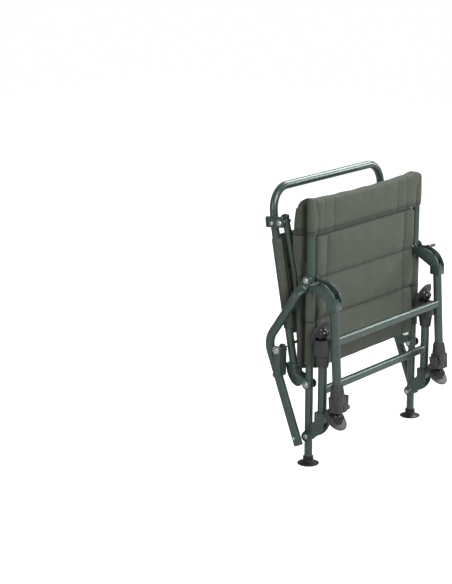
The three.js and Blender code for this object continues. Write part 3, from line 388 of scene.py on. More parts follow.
def pressed(name, node, material, body, crease=32, edge=PRESSED_EDGE):
    """A piece with the shape of its solid, its flat faces made whole and its edges rounded."""
    copy = bmesh.new()
    copy.from_mesh(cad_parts[node].data)
    bmesh.ops.remove_doubles(copy, verts=copy.verts, dist=2 * SAME_POINT * MM)
    bmesh.ops.dissolve_limit(copy, angle_limit=FLAT_ANGLE, verts=copy.verts, edges=copy.edges)
    bmesh.ops.scale(copy, vec=(1 / MM, 1 / MM, 1 / MM), verts=copy.verts)
    bmesh.ops.translate(copy, vec=-TUBE_LINE, verts=copy.verts)
    return settle(name, copy, material, body, [node], crease, edge)


for side, sign in SIDES:
    for part in ("front", "rear"):
        pressed(f"{part}_channel_{side}", f"{part}_bracket_{side}", PAINT, f"{part}_legs")
    pressed(f"back_channel_{side}", f"backrest_bracket_{side}", PAINT, "backrest")

# Cam clamps: dark grey moulded collars that widen to a square box, ribbed for grip, with a cam lever
# on the inner side. The collar is pushed over the leg tube and the lever closes its slot.
CLAMP = {"collar": 33, "top": 15.4, "base": 19.5, "edge": 0.8}
RIB = {"thick": 1.8, "deep": 2.4, "long": 27, "edge": 0.5, "angles": (0, 45, 90, 180, 225, 315)}

PLASTIC = mottled("grey_plastic", dark=(0.046, 0.047, 0.050), light=(0.084, 0.086, 0.092), cloud=(70, 3),
                  smooth=0.36, rough=0.52, wear=(260, 3), pits=1100, depth=0.00022, strength=0.3,
                  Coat_Weight=0.15)

taper = Matrix.Rotation(math.atan2(CLAMP["base"] - CLAMP["top"], CLAMP["collar"]), 4, "Y")
rib_size = Matrix.Diagonal((RIB["deep"], RIB["thick"], RIB["long"], 1))
for legs, leg in LEGS.items():
    on_collar = Matrix.Translation(((CLAMP["base"] + CLAMP["top"]) / 2, 0,
                                    leg["clamp"] + CLAMP["collar"] / 2))
    for side, sign in SIDES:
        pressed(f"{legs}_cam_clamp_{side}", f"{legs}_clamp_{side}", PLASTIC, f"{legs}_legs", 32,
                CLAMP["edge"])
        pressed(f"{legs}_cam_lever_{side}", f"{legs}_clamp_lever_{side}", PLASTIC, f"{legs}_lever_{side}",
                30, CLAMP["edge"])
        ribs = bmesh.new()
        for angle in RIB["angles"]:
            around = leg_place(leg, sign) @ Matrix.Rotation(math.radians(angle), 4, "Z")
            bmesh.ops.create_cube(ribs, size=1, matrix=around @ on_collar @ taper @ rib_size)
        round_off(ribs, list(ribs.edges), RIB["edge"])
        settle(f"{legs}_clamp_ribs_{side}", ribs, PLASTIC, f"{legs}_legs", (), 40)

# Inner legs: painted steel tubes that slide in the outer ones and are held by the clamps.
# Each ends in a glossy black moulded ball on a short neck, which the foot snaps on.
INNER = {"radius": 10.2, "length": 185, "end": 15}
BALL = {"radius": 13.5, "from_clamp": 90, "steps": 12, "sweep": 158, "neck": 4, "base": 14}

GLOSS = mottled("gloss_black", dark=(0.010, 0.010, 0.011), light=(0.022, 0.022, 0.024), cloud=(90, 2),
                smooth=0.24, rough=0.36, wear=(300, 2), pits=300, depth=0.0001, strength=0.1,
                Coat_Weight=0.6)

ball_profile = []
for step in range(BALL["steps"] + 1):
    angle = math.radians(BALL["sweep"] * step / BALL["steps"] - 90)
    ball_profile.append((BALL["radius"] * math.cos(angle), -BALL["radius"] * math.sin(angle)))
ball_profile += [(BALL["neck"], -BALL["base"]), (0, -BALL["base"])]


def ball_place(leg, sign):
    """A place at the middle of the leg's ball."""
    return leg_place(leg, sign) @ Matrix.Translation((0, 0, leg["clamp"] + BALL["from_clamp"]))


for legs, leg in LEGS.items():
    for side, sign in SIDES:
        place = ball_place(leg, sign)
        inner = bmesh.new()
        bent_tube(inner, INNER["radius"], [place @ Vector((0, 0, -INNER["length"])),
                                           place @ Vector((0, 0, -INNER["end"]))])
        settle(f"{legs}_inner_tube_{side}", inner, PAINT, f"{legs}_inner_leg_{side}",
               [f"{legs}_inner_leg_{side}"])
        knuckle = bmesh.new()
        turned(knuckle, ball_profile, place)
        settle(f"{legs}_ball_{side}", knuckle, GLOSS, f"{legs}_inner_leg_{side}", (), 50)

# Mud feet: broad moulded discs that keep the legs from sinking in. Each snaps on its ball with a collar
# that is open on one side and has a rolled lip.
FOOT_PROFILE = [(0, 14.2), (9, 14.2), (11, 13), (34.5, 13), (36, 11.8), (36, 10.6), (34.8, 9.3), (33, 9.6),
                (19, 7.5), (17.5, 6), (13.9, 6), (10.5, 9), (0, 13.3)]
SNAP_PROFILE = [(13.9, 6.2), (13.9, -1), (13.1, -5), (12.2, -7.6), (13, -8.8), (14.6, -8.2), (16.4, -5),
                (17.4, -1), (17.5, 2), (19.5, 6.2), (13.9, 6.2)]
OPEN_ANGLE = math.radians(100)

MUD = mottled("mud_rubber", dark=(0.050, 0.051, 0.056), light=(0.095, 0.096, 0.104), cloud=(50, 3),
              smooth=0.42, rough=0.58, wear=(220, 3), pits=800, depth=0.0002, strength=0.3, Coat_Weight=0.1)

opening = Matrix.Rotation((OPEN_ANGLE - math.pi) / 2, 4, "Z")
for legs, leg in LEGS.items():
    for side, sign in SIDES:
        place = ball_place(leg, sign) @ Matrix.Rotation(leg["tilt"] + leg["lean"], 4, "X")
        foot = bmesh.new()
        turned(foot, FOOT_PROFILE, place, 48)
        settle(f"{legs}_foot_disc_{side}", foot, MUD, f"{legs}_foot_{side}", [f"{legs}_mud_foot_{side}"],
               35)
        collar = bmesh.new()
        turned(collar, SNAP_PROFILE, place @ opening, 40, FULL_TURN - OPEN_ANGLE)
        bmesh.ops.holes_fill(collar, edges=[edge for edge in collar.edges if edge.is_boundary])
        settle(f"{legs}_foot_collar_{side}", collar, GLOSS, f"{legs}_foot_{side}", (), 40)

# Lock pins: dark moulded grips on the outer ear of each front bracket, each on a steel pin with a spring.
# A grip is pulled outwards to free the leg frame.
PIN_SPOT = (-34, 518)
GRIP_PROFILE = [(0, -3), (3, -3), (3, 0), (6, 0), (6.5, 0.6), (6.5, 4.4), (5.8, 5), (4.2, 6.5), (4, 12),
                (4.6, 22), (5, 33), (4.6, 36.5), (3.2, 38), (0, 38)]
for side, sign in SIDES:
    grip = bmesh.new()
    turned(grip, GRIP_PROFILE, along_x(sign * (RAIL_X + EAR_FACE), *PIN_SPOT, sign), 24)
    settle(f"lock_grip_{side}", grip, PLASTIC, f"lock_pin_{side}", [f"lock_pin_{side}"], 40)

# Backrest tube: one painted steel tube, bent at both top corners and kinked where its sides stand
# steeper. Its lower ends are held in the two lower brackets.
BACK_OFFSET = 44.2
BACK_LEAN = math.radians(10.3)
BACK_LOW = 253
BACK_KINK = 655
BACK_TOP = (129, 752)
BACK_BENDS = (120, 60, 60, 120)


def back_spot(height):
    """A point on the straight part of the backrest tube's right side."""
    return RAIL_X, BACK_OFFSET + (height - BACK_PIVOT) * math.tan(BACK_LEAN), height


back_tube = bmesh.new()
side_run = [back_spot(BACK_LOW), back_spot(BACK_KINK), (RAIL_X, *BACK_TOP)]
bent_tube(back_tube, RAIL_RADIUS, [(-x, y, z) for x, y, z in side_run] + side_run[::-1], BACK_BENDS)
settle("back_tube", back_tube, PAINT, "backrest", ["backrest_frame"])

# Stay plates: small flat steel plates riveted to the backrest tube; the stays hang on their inner side
# from a zinc bolt, and a second domed rivet holds the plate to the tube.
PLATE_EDGE = 0.6
STAY_PIVOT = (95, 664)
STAY_BOLT = (-24.8, 14.6)
SPACER_PROFILE = [(0, -4.2), (7, -4.2), (7, -10.7), (0, -10.7)]
RIVET_SPOT = (121, 660)
RIVET_PROFILE = [(0, 18.6), (3.6, 18), (5.8, 16.4), (6.4, 14.4), (0, 14.4)]
for side, sign in SIDES:
    pressed(f"stay_lug_{side}", f"stay_plate_{side}", PAINT, "backrest", 30, PLATE_EDGE)
    bolt = bmesh.new()
    place = along_x(sign * RAIL_X, *STAY_PIVOT, sign)
    capped_bolt(bolt, place, *STAY_BOLT)
    turned(bolt, SPACER_PROFILE, place, 24)
    settle(f"stay_screw_{side}", bolt, ZINC, "backrest", [f"stay_pivot_bolt_{side}"], 30)
    rivet = bmesh.new()
    turned(rivet, RIVET_PROFILE, along_x(sign * RAIL_X, *RIVET_SPOT, sign), 24)
    settle(f"stay_rivet_{side}", rivet, ZINC, "backrest", (), 30)

# Stays: slightly bowed painted tubes from the backrest plates down to the recline rails, with a black
# cap on top and a cross pin at the foot that runs in the rail.
STAY_X = RAIL_X - 14.5
STAY = {"radius": 10, "bend": 800, "line": ((97.2, 676), (59.3, 533), (41.1, 331))}
CROSS_PIN = {"radius": 4, "wall": 1, "sides": 16, "outer_x": RAIL_X + 11.9, "spot": (42, 341)}
CAP_PROFILE = [(10.4, -3), (11.8, -3), (12, -2.5), (12, 1), (11.4, 3.5), (9.6, 5.8), (6, 7.4), (0, 8)]
for side, sign in SIDES:
    stay_run = [Vector((sign * STAY_X, *spot)) for spot in STAY["line"]]
    pin_run = [(sign * x, *CROSS_PIN["spot"]) for x in (CROSS_PIN["outer_x"], STAY_X)]
    stay = bmesh.new()
    bent_tube(stay, STAY["radius"], stay_run, (STAY["bend"],))
    bent_tube(stay, CROSS_PIN["radius"], pin_run, (), CROSS_PIN["wall"], CROSS_PIN["sides"])
    settle(f"stay_bar_{side}", stay, PAINT, f"stay_{side}", [f"stay_tube_{side}"])
    cap = bmesh.new()
    turned(cap, CAP_PROFILE, aimed(stay_run[0], (stay_run[0] - stay_run[1]).normalized()), 28)
    settle(f"stay_end_{side}", cap, GLOSS, f"stay_{side}", [f"stay_cap_{side}"], 50)

# Armrests: painted tubes, flattened where they turn on the front pivot bolt, bent at the knee and the
# elbow, and plugged at the free end. ARM_FLAT runs from the flat end to the round tube, in rows of
# (distance from the pivot, width as a share of ARM_HALF, roundness as a share).
ARM_X = RAIL_X + 34
ARM_RADIUS = 12.5
ARM_HALF = 14
ARM_BEND = 58
ARM_PATH = ((36, 455), (115, 340), (9.5, 62.5))
FLAT_HALF = 2.5
FLAT_X = RAIL_X + EAR_FACE + FLAT_HALF
FLAT_LENGTH = 46
ARM_FLAT = ((-13, 0.35, 0), (-11, 0.6, 0), (-7, 0.86, 0), (0, 1, 0), (15, 1, 0), (22, 0.99, 0.08),
            (29, 0.97, 0.36), (36, 0.93, 0.72), (42, 0.90, 0.95), (FLAT_LENGTH, ARM_RADIUS / ARM_HALF, 1))
PLUG_PROFILE = [(9, -6), (10.6, -6), (10.6, 0.3), (12.9, 0.3), (12.9, 2.2), (12, 3), (0, 3.4)]


def arm_run(sign):
    """The knee, the elbow and the free end of an armrest."""
    return [Vector((sign * ARM_X, *spot)) for spot in ARM_PATH]


for side, sign in SIDES:
    knee, elbow, end = arm_run(sign)
    lead = Vector((0, knee.y, knee.z - FRONT_PIVOT)).normalized()
    begin = Vector((sign * ARM_X, 0, FRONT_PIVOT)) + lead * FLAT_LENGTH
    arm = bmesh.new()
    bent_tube(arm, ARM_RADIUS, [begin, knee, elbow, end], (ARM_BEND, ARM_BEND))
    facing = Matrix((lead.cross(ACROSS), ACROSS, lead)).transposed().to_4x4()
    shell = []
    for reach, width, share in ARM_FLAT:
        spot = Vector((sign * (FLAT_X + (ARM_X - FLAT_X) * share), 0, FRONT_PIVOT)) + lead * reach
        thick = FLAT_HALF + (ARM_RADIUS - FLAT_HALF) * share
        size = Matrix.Diagonal((ARM_HALF * width, thick, 1, 1))
        made = bmesh.ops.create_circle(arm, cap_ends=False, radius=1, segments=TUBE_SIDES,
                                       matrix=Matrix.Translation(spot) @ facing @ size)
        loop = edges_of(made["verts"])
        if shell:
            bmesh.ops.bridge_loops(arm, edges=shell + loop)
        else:
            bmesh.ops.edgeloop_fill(arm, edges=loop)
        shell = loop
    settle(f"arm_bar_{side}", arm, PAINT, f"armrest_{side}", [f"armrest_tube_{side}"])
    plug = bmesh.new()
    turned(plug, PLUG_PROFILE, aimed(end, (end - elbow).normalized()), 28)
    settle(f"arm_end_{side}", plug, PLASTIC, f"armrest_{side}", [f"armrest_plug_{side}"], 40)

# Recline locks: a pressed channel on each armrest with a zinc bolt through its head and a star knob
# inside; the stay's pin runs along it. Two more small screws hold the channel and the tube end.
CHANNEL_HALF = ARM_RADIUS + SLACK + 2.5
RAIL_HEAD = (76, 320)
RAIL_BOLT = {"tip": 4, "washer": 10.5}
KNOB = {"radius": 10.5, "lobe": 1.4, "lobes": 6, "thickness": 5.6, "edge": 0.8}
RAIL_SCREW_SPOT = (81.7, 250)
RAIL_SCREW_PROFILE = [(0, -16.4), (2.4, -16.1), (4.2, -15), (5, -13.2), (4, -13.2), (4, 13), (6.4, 13),
                      (6.2, 14.6), (4.5, 16), (0, 16.6)]
ARM_SCREW_SPOT = (17, 80)
ARM_SCREW_PROFILE = [(0, 16), (2.6, 15.6), (4.6, 14.2), (5, 12.2), (0, 12.2)]
for side, sign in SIDES:
    pressed(f"recline_channel_{side}", f"recline_rail_{side}", PAINT, f"armrest_{side}", 30,
            PLATE_EDGE)
    bolt = bmesh.new()
    place = along_x(sign * ARM_X, *RAIL_HEAD, sign)
    capped_bolt(bolt, place, -CHANNEL_HALF - RAIL_BOLT["tip"], CHANNEL_HALF + SLACK, RAIL_BOLT["washer"],
                False)
    settle(f"recline_screw_{side}", bolt, ZINC, f"armrest_{side}", [f"recline_bolt_{side}"], 30)
    knob = bmesh.new()
    made = bmesh.ops.create_circle(knob, cap_ends=True, radius=KNOB["radius"], segments=48)
    for vert in made["verts"]:
        angle = math.atan2(vert.co.y, vert.co.x)
        vert.co *= 1 + KNOB["lobe"] / KNOB["radius"] * math.cos(KNOB["lobes"] * angle)
    grown = bmesh.ops.extrude_face_region(knob, geom=list(knob.faces))["geom"]
    outer = [item for item in grown if isinstance(item, bmesh.types.BMVert)]
    bmesh.ops.translate(knob, vec=(0, 0, KNOB["thickness"]), verts=outer)
    inside = Matrix.Translation((0, 0, -CHANNEL_HALF - SLACK - KNOB["thickness"]))
    bmesh.ops.transform(knob, matrix=place @ inside, verts=knob.verts)
    settle(f"star_knob_{side}", knob, GLOSS, f"knob_{side}", [f"recline_knob_{side}"], 40,
           KNOB["edge"])
    knee, elbow, end = arm_run(sign)
    normal = (end - elbow).normalized().cross(ACROSS)
    screw = bmesh.new()
    turned(screw, RAIL_SCREW_PROFILE, aimed((sign * ARM_X, *RAIL_SCREW_SPOT), normal), 20)
    settle(f"rail_screw_{side}", screw, ZINC, f"armrest_{side}", [f"rail_bolt_{side}"], 30)
    end_screw = bmesh.new()
    turned(end_screw, ARM_SCREW_PROFILE, along_x(sign * ARM_X, *ARM_SCREW_SPOT, sign), 20)
    settle(f"arm_screw_{side}", end_screw, ZINC, f"armrest_{side}", (), 30)

# Seat cushion: a foam slab in olive woven cloth. Its narrow underside hangs between the tubes, stitched
# across in channels; its boxed edge lies over the tubes and ends in a piped seam on the sitting side.
# EDGE_LINE is that seam's height above the tubes, in rows of (place along the seat, height).
PAD = {"low": 266, "high": 636, "under": 12, "under_x": 240, "under_round": 9, "overlap": 22, "over_x": 260,
       "over_round": 5, "ledge": 15, "top": 44, "voxel": 0.0055, "seams": (404, 518), "side_seam": 190,
       "draw": 12, "side_draw": 8, "gather": 1.1, "waist": 0.05, "ripple": 1.6, "stitched_below": 10,
       "held_ends": (172, 180), "pressure": 4, "cap": 8, "piping": range(272, 634, 24), "inset": (2.2, 2.4),
       "sleeve": (284, 488)}
NOTCH = {"low": 386, "high": 570, "slope": 12, "lift": 14, "x": (236, 243)}
EDGE_LINE = ((255, 22), (268, 38), (300, 43), (343, 43), (390, 36), (471, 36), (525, 44), (549, 50),
             (585, 57), (618, 60), (663, 59), (700, 55), (724, 48), (740, 40))
PIPE = {"radius": 1.9, "bend": 6, "wall": 1.2, "sides": 12}
SLEEVE_RADIUS = 13.3
CLOTH_STEPS = 20
DARK_CLOTH = (0.082, 0.096, 0.068)
LIGHT_CLOTH = (0.160, 0.180, 0.136)
WEAVE = 0.0019
# Widths of the line at each seam across (stitched joint and painted crease shade) and of the painted shade
# just above it.
SEAM_LINE = 0.0028
PAINTED_SEAM_SHADE = 0.011
STITCH_LINE = 0.0022
# Painted shade in the crevice between the boxed edge and the side tube: its height, its band across the
# cloth and its band towards the outer side.
PAINTED_TUBE_SHADE = {"height": 19, "deep": (0.005, 0.015), "x": (0.236, 0.248)}


def darker(share):
    return tuple(share * part for part in DARK_CLOTH)


def olive_cloth(name, seams_z=(), seams_x=(), turn=0.0):
    """Plain woven cloth, with a dark line at each stitched seam and a painted soft shade at those across;
    there the line is also painted crease shade, and, unless turned, painted shade lies in the crevice behind
    the side tubes.
    """
    finish = Finish(name, Sheen_Weight=0.1, Sheen_Roughness=0.6)
    up = finish.z * math.cos(turn) + finish.y * math.sin(turn) if turn else finish.z
    weft = finish.x.wave(WEAVE) * up.wave(WEAVE)
    sides = finish.y.wave(WEAVE) * up.wave(WEAVE)
    weave = (weft + sides) * 0.25 + 0.5
    cloud = finish.grain(28, 4) * 0.6 + finish.grain(420, 2) * 0.4
    base = finish.tint(cloud, DARK_CLOTH, LIGHT_CLOTH)
    base = finish.tint(weave * 0.35, base, darker(0.62))
    height = weave * 0.25 + finish.grain(900, 2) * 0.2
    # Each seam across gets a dark line, partly the stitched joint and partly painted crease shade, and a
    # painted soft shade 2.5 mm above it.
    for line in seams_z:
        mark = finish.near(abs(up - line * MM), 0.0, SEAM_LINE)
        shade = finish.near(abs(up - (line + 2.5) * MM), 0.0, PAINTED_SEAM_SHADE)
        base = finish.tint(mark * 0.6 + shade * 0.25, base, darker(0.35))
        height = height - mark * 1.5
    for line in seams_x:
        mark = finish.near(abs(finish.x - line * MM), 0.0, STITCH_LINE)
        base = finish.tint(mark * 0.55, base, darker(0.4))
        height = height - mark * 1.2
    # Painted shade on the seat and cover cloths, in the crevice where the boxed edge meets the side tube.
    if not turn:
        from_tube = abs(finish.y - (TUBE_LINE.y + PAINTED_TUBE_SHADE["height"]) * MM)
        behind = finish.near(from_tube, *PAINTED_TUBE_SHADE["deep"])
        begin, full = PAINTED_TUBE_SHADE["x"]
        outer = finish.node("ShaderNodeMapRange", {},
                            {"Value": abs(finish.x), "From Min": begin, "From Max": full})
        base = finish.tint(behind * outer * 0.8, base, darker(0.3))
    finish.set("Base Color", base)
    finish.set("Roughness", finish.between(weave, 0.82, 0.96))
    finish.relief(height + finish.grain(26, 3, (1.0, 1.0, 1.9)) * 5, 0.0006, 0.7)
    return finish.material


def piping_cloth():
    finish = Finish("piping_cloth")
    finish.set("Base Color", finish.tint(finish.grain(160, 3), (0.13, 0.155, 0.075), (0.19, 0.215, 0.11)))
    finish.set("Roughness", finish.between(finish.grain(700, 2), 0.75, 0.92))
    finish.relief(finish.z.wave(0.0016) * 0.5 + finish.x.wave(0.0016) * 0.5, 0.0003, 0.5)
    return finish.material


PIPING = piping_cloth()


def ease(value, low, high):
    """A share that rises smoothly from 0 to 1 as the value goes from low to high."""
    share = min(1, max(0, (value - low) / (high - low)))
    return share * share * (3 - 2 * share)


def hump(away, width):
    """A share that is 1 at a line and falls off smoothly to both sides."""
    return math.exp(-(away / width) ** 2)


def line_at(line, along):
    """The height of a drawn edge line at a place along it."""
    if along <= line[0][0]:
        return line[0][1]
    for (a, first), (b, second) in zip(line, line[1:]):
        if along <= b:
            return first + (second - first) * ease(along, a, b)
    return line[-1][1]


def slab(pad, blocks):
    """A closed body of rounded blocks (half width, low y, high y, corner), remeshed into even faces."""
    bm = bmesh.new()
    for half, under, over, corner in blocks:
        middle = Matrix.Translation((0, (under + over) / 2, (pad["low"] + pad["high"]) / 2))
        size = Matrix.Diagonal((2 * half, over - under, pad["high"] - pad["low"], 1))
        made = bmesh.ops.create_cube(bm, size=1, matrix=middle @ size)
        round_off(bm, edges_of(made["verts"]), corner, 4)
    bmesh.ops.recalc_face_normals(bm, faces=bm.faces)
    bmesh.ops.scale(bm, vec=(MM, MM, MM), verts=bm.verts)
    mesh = bpy.data.meshes.new("slab")
    bm.to_mesh(mesh)
    bm.free()
    piece = bpy.data.objects.new("slab", mesh)
    bpy.context.scene.collection.objects.link(piece)
    remesh = piece.modifiers.new("even", "REMESH")
    remesh.mode = "VOXEL"
    remesh.voxel_size = pad["voxel"]
    fix_mesh(piece)
    return piece


def fix_mesh(piece):
    """Makes what the modifiers give the piece's own mesh."""
    graph = bpy.context.evaluated_depsgraph_get()
    mesh = bpy.data.meshes.new_from_object(piece.evaluated_get(graph))
    piece.modifiers.clear()
    piece.data = mesh


def inflate(piece, held, pressure, cap):
    """Fills the cloth with air between the held points, and lets no point move further than cap."""
    rest = [vert.co.copy() for vert in piece.data.vertices]
    group = piece.vertex_groups.new(name="held")
    for vert in piece.data.vertices:
        group.add([vert.index], held(vert.co / MM), "REPLACE")
    cloth = piece.modifiers.new("cloth", "CLOTH")
    settings = cloth.settings
    settings.quality = 6
    settings.mass = 0.25
    settings.tension_stiffness = 15
    settings.compression_stiffness = 15
    settings.bending_stiffness = 0.5
    settings.use_pressure = True
    settings.uniform_pressure_force = pressure
    settings.vertex_group_mass = "held"
    settings.pin_stiffness = 1
    settings.effector_weights.gravity = 0
    cloth.point_cache.frame_start = 1
    cloth.point_cache.frame_end = CLOTH_STEPS
    for number in range(1, CLOTH_STEPS + 1):
        bpy.context.scene.frame_set(number)
    fix_mesh(piece)
    bpy.context.scene.frame_set(1)
    for vert, start in zip(piece.data.vertices, rest):
        move = vert.co - start
        if move.length > cap * MM:
            vert.co = start + move.normalized() * cap * MM
    piece.vertex_groups.clear()


def smooth_once(piece):
    finer = piece.modifiers.new("finer", "SUBSURF")
    finer.levels = finer.render_levels = 1
    fix_mesh(piece)


def shape(piece, rule):
    """Moves every point, in millimetres, by a rule."""
    for vert in piece.data.vertices:
        vert.co = rule(vert.co / MM) * MM


def padding(pad, blocks, swell, held):
    """A pad's soft body: blocks moved by the swell rule, then filled with air where they aren't held."""
    piece = slab(pad, blocks)
    shape(piece, swell)
    inflate(piece, held, pad["pressure"], pad["cap"])
    smooth_once(piece)
    return piece


def sewn(name, soft, trims, cloth, body, replaced):
    """Joins a soft body with its trims, cloth (0) or piping (1), into one padded piece of the chair."""
    mesh = bpy.data.meshes.new(name)
    whole = bmesh.new()
    whole.from_mesh(soft.data)
    soft_mesh = soft.data
    bpy.data.objects.remove(soft)
    bpy.data.meshes.remove(soft_mesh)
    for number, trim in trims:
        bmesh.ops.recalc_face_normals(trim, faces=trim.faces)
        bmesh.ops.scale(trim, vec=(MM, MM, MM), verts=trim.verts)
        before = len(whole.faces)
        part = bpy.data.meshes.new("trim")
        trim.to_mesh(part)
        trim.free()
        whole.from_mesh(part)
        bpy.data.meshes.remove(part)
        whole.faces.ensure_lookup_table()
        for face in whole.faces[before:]:
            face.material_index = number
    bmesh.ops.translate(whole, vec=TUBE_LINE * MM, verts=whole.verts)
    whole.to_mesh(mesh)
    whole.free()
    piece = bpy.data.objects.new(name, mesh)
    bpy.context.scene.collection.objects.link(piece)
    mesh.materials.append(cloth)
    mesh.materials.append(PIPING)
    mesh.polygons.foreach_set("use_smooth", [True] * len(mesh.polygons))
    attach(piece, body)
    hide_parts(*replaced)
    return piece


def channel(above):
    """How far the cloth is drawn in, as a share, at a height above a quilting seam."""
    roll = 0.35 * math.exp(-abs(above) / (6 if above > 0 else 13)) + 0.3 * math.exp(-abs(above) / 34)
    return min(1, 0.4 * hump(above, 3) + roll + 0.12 * hump(above + 12, 2.6))


def edge_crease(x, y, z):
    """How far out the boxed edge puckers between its seams."""
    pucker = noise.noise(Vector((3, y / 22, z / 15))) + 0.6 * noise.noise(Vector((9, y / 40, z / 6)))
    return math.copysign(2.2 * pucker * ease(abs(x), 246, 257), x)


def seat_swell(spot):
    """Seams draw the underside in, the boxed edge follows its line, and notches clear the brackets."""
    x, y, z = spot
    inner = PAD["ledge"] - 4
    if y < inner:
        beside = abs(x) - PAD["side_seam"]
        pull = max(channel(z - seam) for seam in PAD["seams"])
        side = 0.7 * hump(beside, 3.5) + 0.5 * math.exp(-abs(beside) / 16)
        gathers = math.sin(z / 3.4 + 2.2 * math.sin(z / 19)) * hump(beside - 12, 14)
        draw = PAD["draw"] * pull + PAD["side_draw"] * side * (1 - 0.5 * pull) + PAD["gather"] * gathers
        y += draw * (1 - ease(y, 0, inner))
    if y > PAD["ledge"] - 3:
        x *= 1 - PAD["waist"] * ease(abs(x), 236, 256) * (1 - ease(y, PAD["ledge"] + 2, 29))
        top = line_at(EDGE_LINE, z)
        y = PAD["ledge"] + (y - PAD["ledge"]) * (top - PAD["ledge"]) / (PAD["top"] - PAD["ledge"])
        above = ease(z, NOTCH["low"], NOTCH["low"] + NOTCH["slope"])
        below = 1 - ease(z, NOTCH["high"] - NOTCH["slope"], NOTCH["high"])
        lift = NOTCH["lift"] * above * below * ease(abs(x), *NOTCH["x"])
        y += lift * max(0, top - y) / (top - PAD["ledge"])
        x += edge_crease(x, y, z)
    ripple = noise.noise(Vector((x / 38, y / 25, z / 55))) * PAD["ripple"]
    return Vector((x, y + ripple, z))


def held_at(pad, spot):
    """How firmly a pad is held at a point: fully at its seams, sides and ends."""
    x, y, z = spot
    stitches = [hump(z - line, 6) for line in pad["seams"]] + [hump(abs(x) - pad["side_seam"], 6)]
    seam = max(stitches) if y < pad["stitched_below"] else 0
    rim = 1 if abs(x) > pad["under_x"] - 9 else 0
    end = ease(abs(z - (pad["low"] + pad["high"]) / 2), *pad["held_ends"])
    return min(1, max(seam, rim, end))


def pipe(spots):
    """A length of piping: a strip of cloth folded over a thin core and sewn into the seam."""
    trim = bmesh.new()
    bent_tube(trim, PIPE["radius"], spots, [PIPE["bend"]] * (len(spots) - 2), PIPE["wall"], PIPE["sides"])
    return trim


def edge_pipe(pad, sign):
    """The piping along one side of the boxed edge."""
    in_x, in_y = pad["inset"]
    return pipe([(sign * (pad["over_x"] - in_x), line_at(EDGE_LINE, z) - in_y, z) for z in pad["piping"]])


def sleeve(sign, low, high):
    """The cloth sleeve that holds a pad to a side tube."""
    trim = bmesh.new()
    bent_tube(trim, SLEEVE_RADIUS, [(sign * RAIL_X, 0, low), (sign * RAIL_X, 0, high)])
    return trim


seat_blocks = ((PAD["under_x"], -PAD["under"], PAD["overlap"], PAD["under_round"]),
               (PAD["over_x"], PAD["ledge"], PAD["top"], PAD["over_round"]))
seat_body = padding(PAD, seat_blocks, seat_swell, lambda spot: held_at(PAD, spot))
trims = []
for side, sign in SIDES:
    trims += [(1, edge_pipe(PAD, sign)), (0, sleeve(sign, *PAD["sleeve"]))]
sewn("seat_pad", seat_body, trims,
     olive_cloth("seat_cloth", PAD["seams"], (-PAD["side_seam"], PAD["side_seam"])),
     "seat", ["seat_cushion"])

# Front cover: the cloth runs on over the front bow of the seat tube and comes down its other side as a
# hemmed flap, stitched down in four lines.
FLAP = {"low": 637, "high": 737, "under": 13.5, "wrap_x": 271, "wrap_top": 9, "wrap_round": 8, "over_x": 260,
        "over_low": 2, "over_round": 7, "fold": 14, "top": 50, "voxel": 0.005, "hems": (644, 650),
        "lines": (-213, -166, 143, 189), "draw": 2.2, "waist": 0.06, "ripple": 1.2, "tube_edge": 4.5,
        "held_x": 250, "held_ends": (38, 44), "pressure": 3, "cap": 4, "piping": range(632, 716, 15),
        "inset": (3.4, 3.6)}
SAG = {"from": 690, "to": 735, "middle": 6, "ends": 9, "wave": 1.5, "behind": 15, "corner": 3}


def flap_swell(spot):
    """The lines draw the flap in, the tube shows through it, and its top sags between the corners."""
    x, y, z = spot
    x *= 1 - FLAP["waist"] * ease(abs(x), 240, 258) * hump(y - 20, 7) * (1 - ease(z, 712, 730))
    if y > FLAP["fold"]:
        rise = (line_at(EDGE_LINE, z) - FLAP["fold"]) / (FLAP["top"] - FLAP["fold"])
        y = FLAP["fold"] + (y - FLAP["fold"]) * rise
    elif y < 0:
        pull = max(hump(x - line, 5) for line in FLAP["lines"])
        y += FLAP["draw"] * pull + 2.0 * max(0, 1 - (x / 262) ** 6) * (1 - ease(z, 700, 737))
        if y < 0:
            y += hump(z - 648, 4)
    fold_x = 241 + 14 * ease(z, 690, 730)
    tube_edge = hump(abs(x) - fold_x, 4) if y < 0 else 0
    corner = hump(262 - abs(x), 26)
    droop = SAG["middle"] * max(0, 1 - (x / 250) ** 4) + SAG["ends"] * ease(abs(x), 250, 272)
    droop += SAG["wave"] * math.sin(x / 41) * math.sin(x / 23)
    fall = SAG["behind"] * ease(y, 13, 46) * (1 - 0.3 * corner)
    up = (SAG["corner"] * corner - droop - fall) * ease(z, SAG["from"], SAG["to"])
    out = edge_crease(x, y, z) * ease(y, FLAP["fold"], 22)
    ripple = noise.noise(Vector((x / 45, y / 30, z / 60 + 7))) * FLAP["ripple"]
    return Vector((x + out, y + FLAP["tube_edge"] * tube_edge + ripple, z + up))


def flap_held(spot):
    """How firmly the cover is held at a point: fully at its stitched lines, sides and ends."""
    x, y, z = spot
    lines = max(hump(x - line, 6) for line in FLAP["lines"]) if y < 0 else 0
    rim = 1 if abs(x) > FLAP["held_x"] else 0
    end = ease(abs(z - (FLAP["low"] + FLAP["high"]) / 2), *FLAP["held_ends"])
    return min(1, max(lines, rim, end))


flap_blocks = ((FLAP["wrap_x"], -FLAP["under"], FLAP["wrap_top"], FLAP["wrap_round"]),
               (FLAP["over_x"], FLAP["over_low"], FLAP["top"], FLAP["over_round"]))
flap = padding(FLAP, flap_blocks, flap_swell, flap_held)
sewn("seat_cover", flap, [(1, edge_pipe(FLAP, sign)) for side, sign in SIDES],
     olive_cloth("cover_cloth", FLAP["hems"], FLAP["lines"]), "seat", ["seat_pocket"])

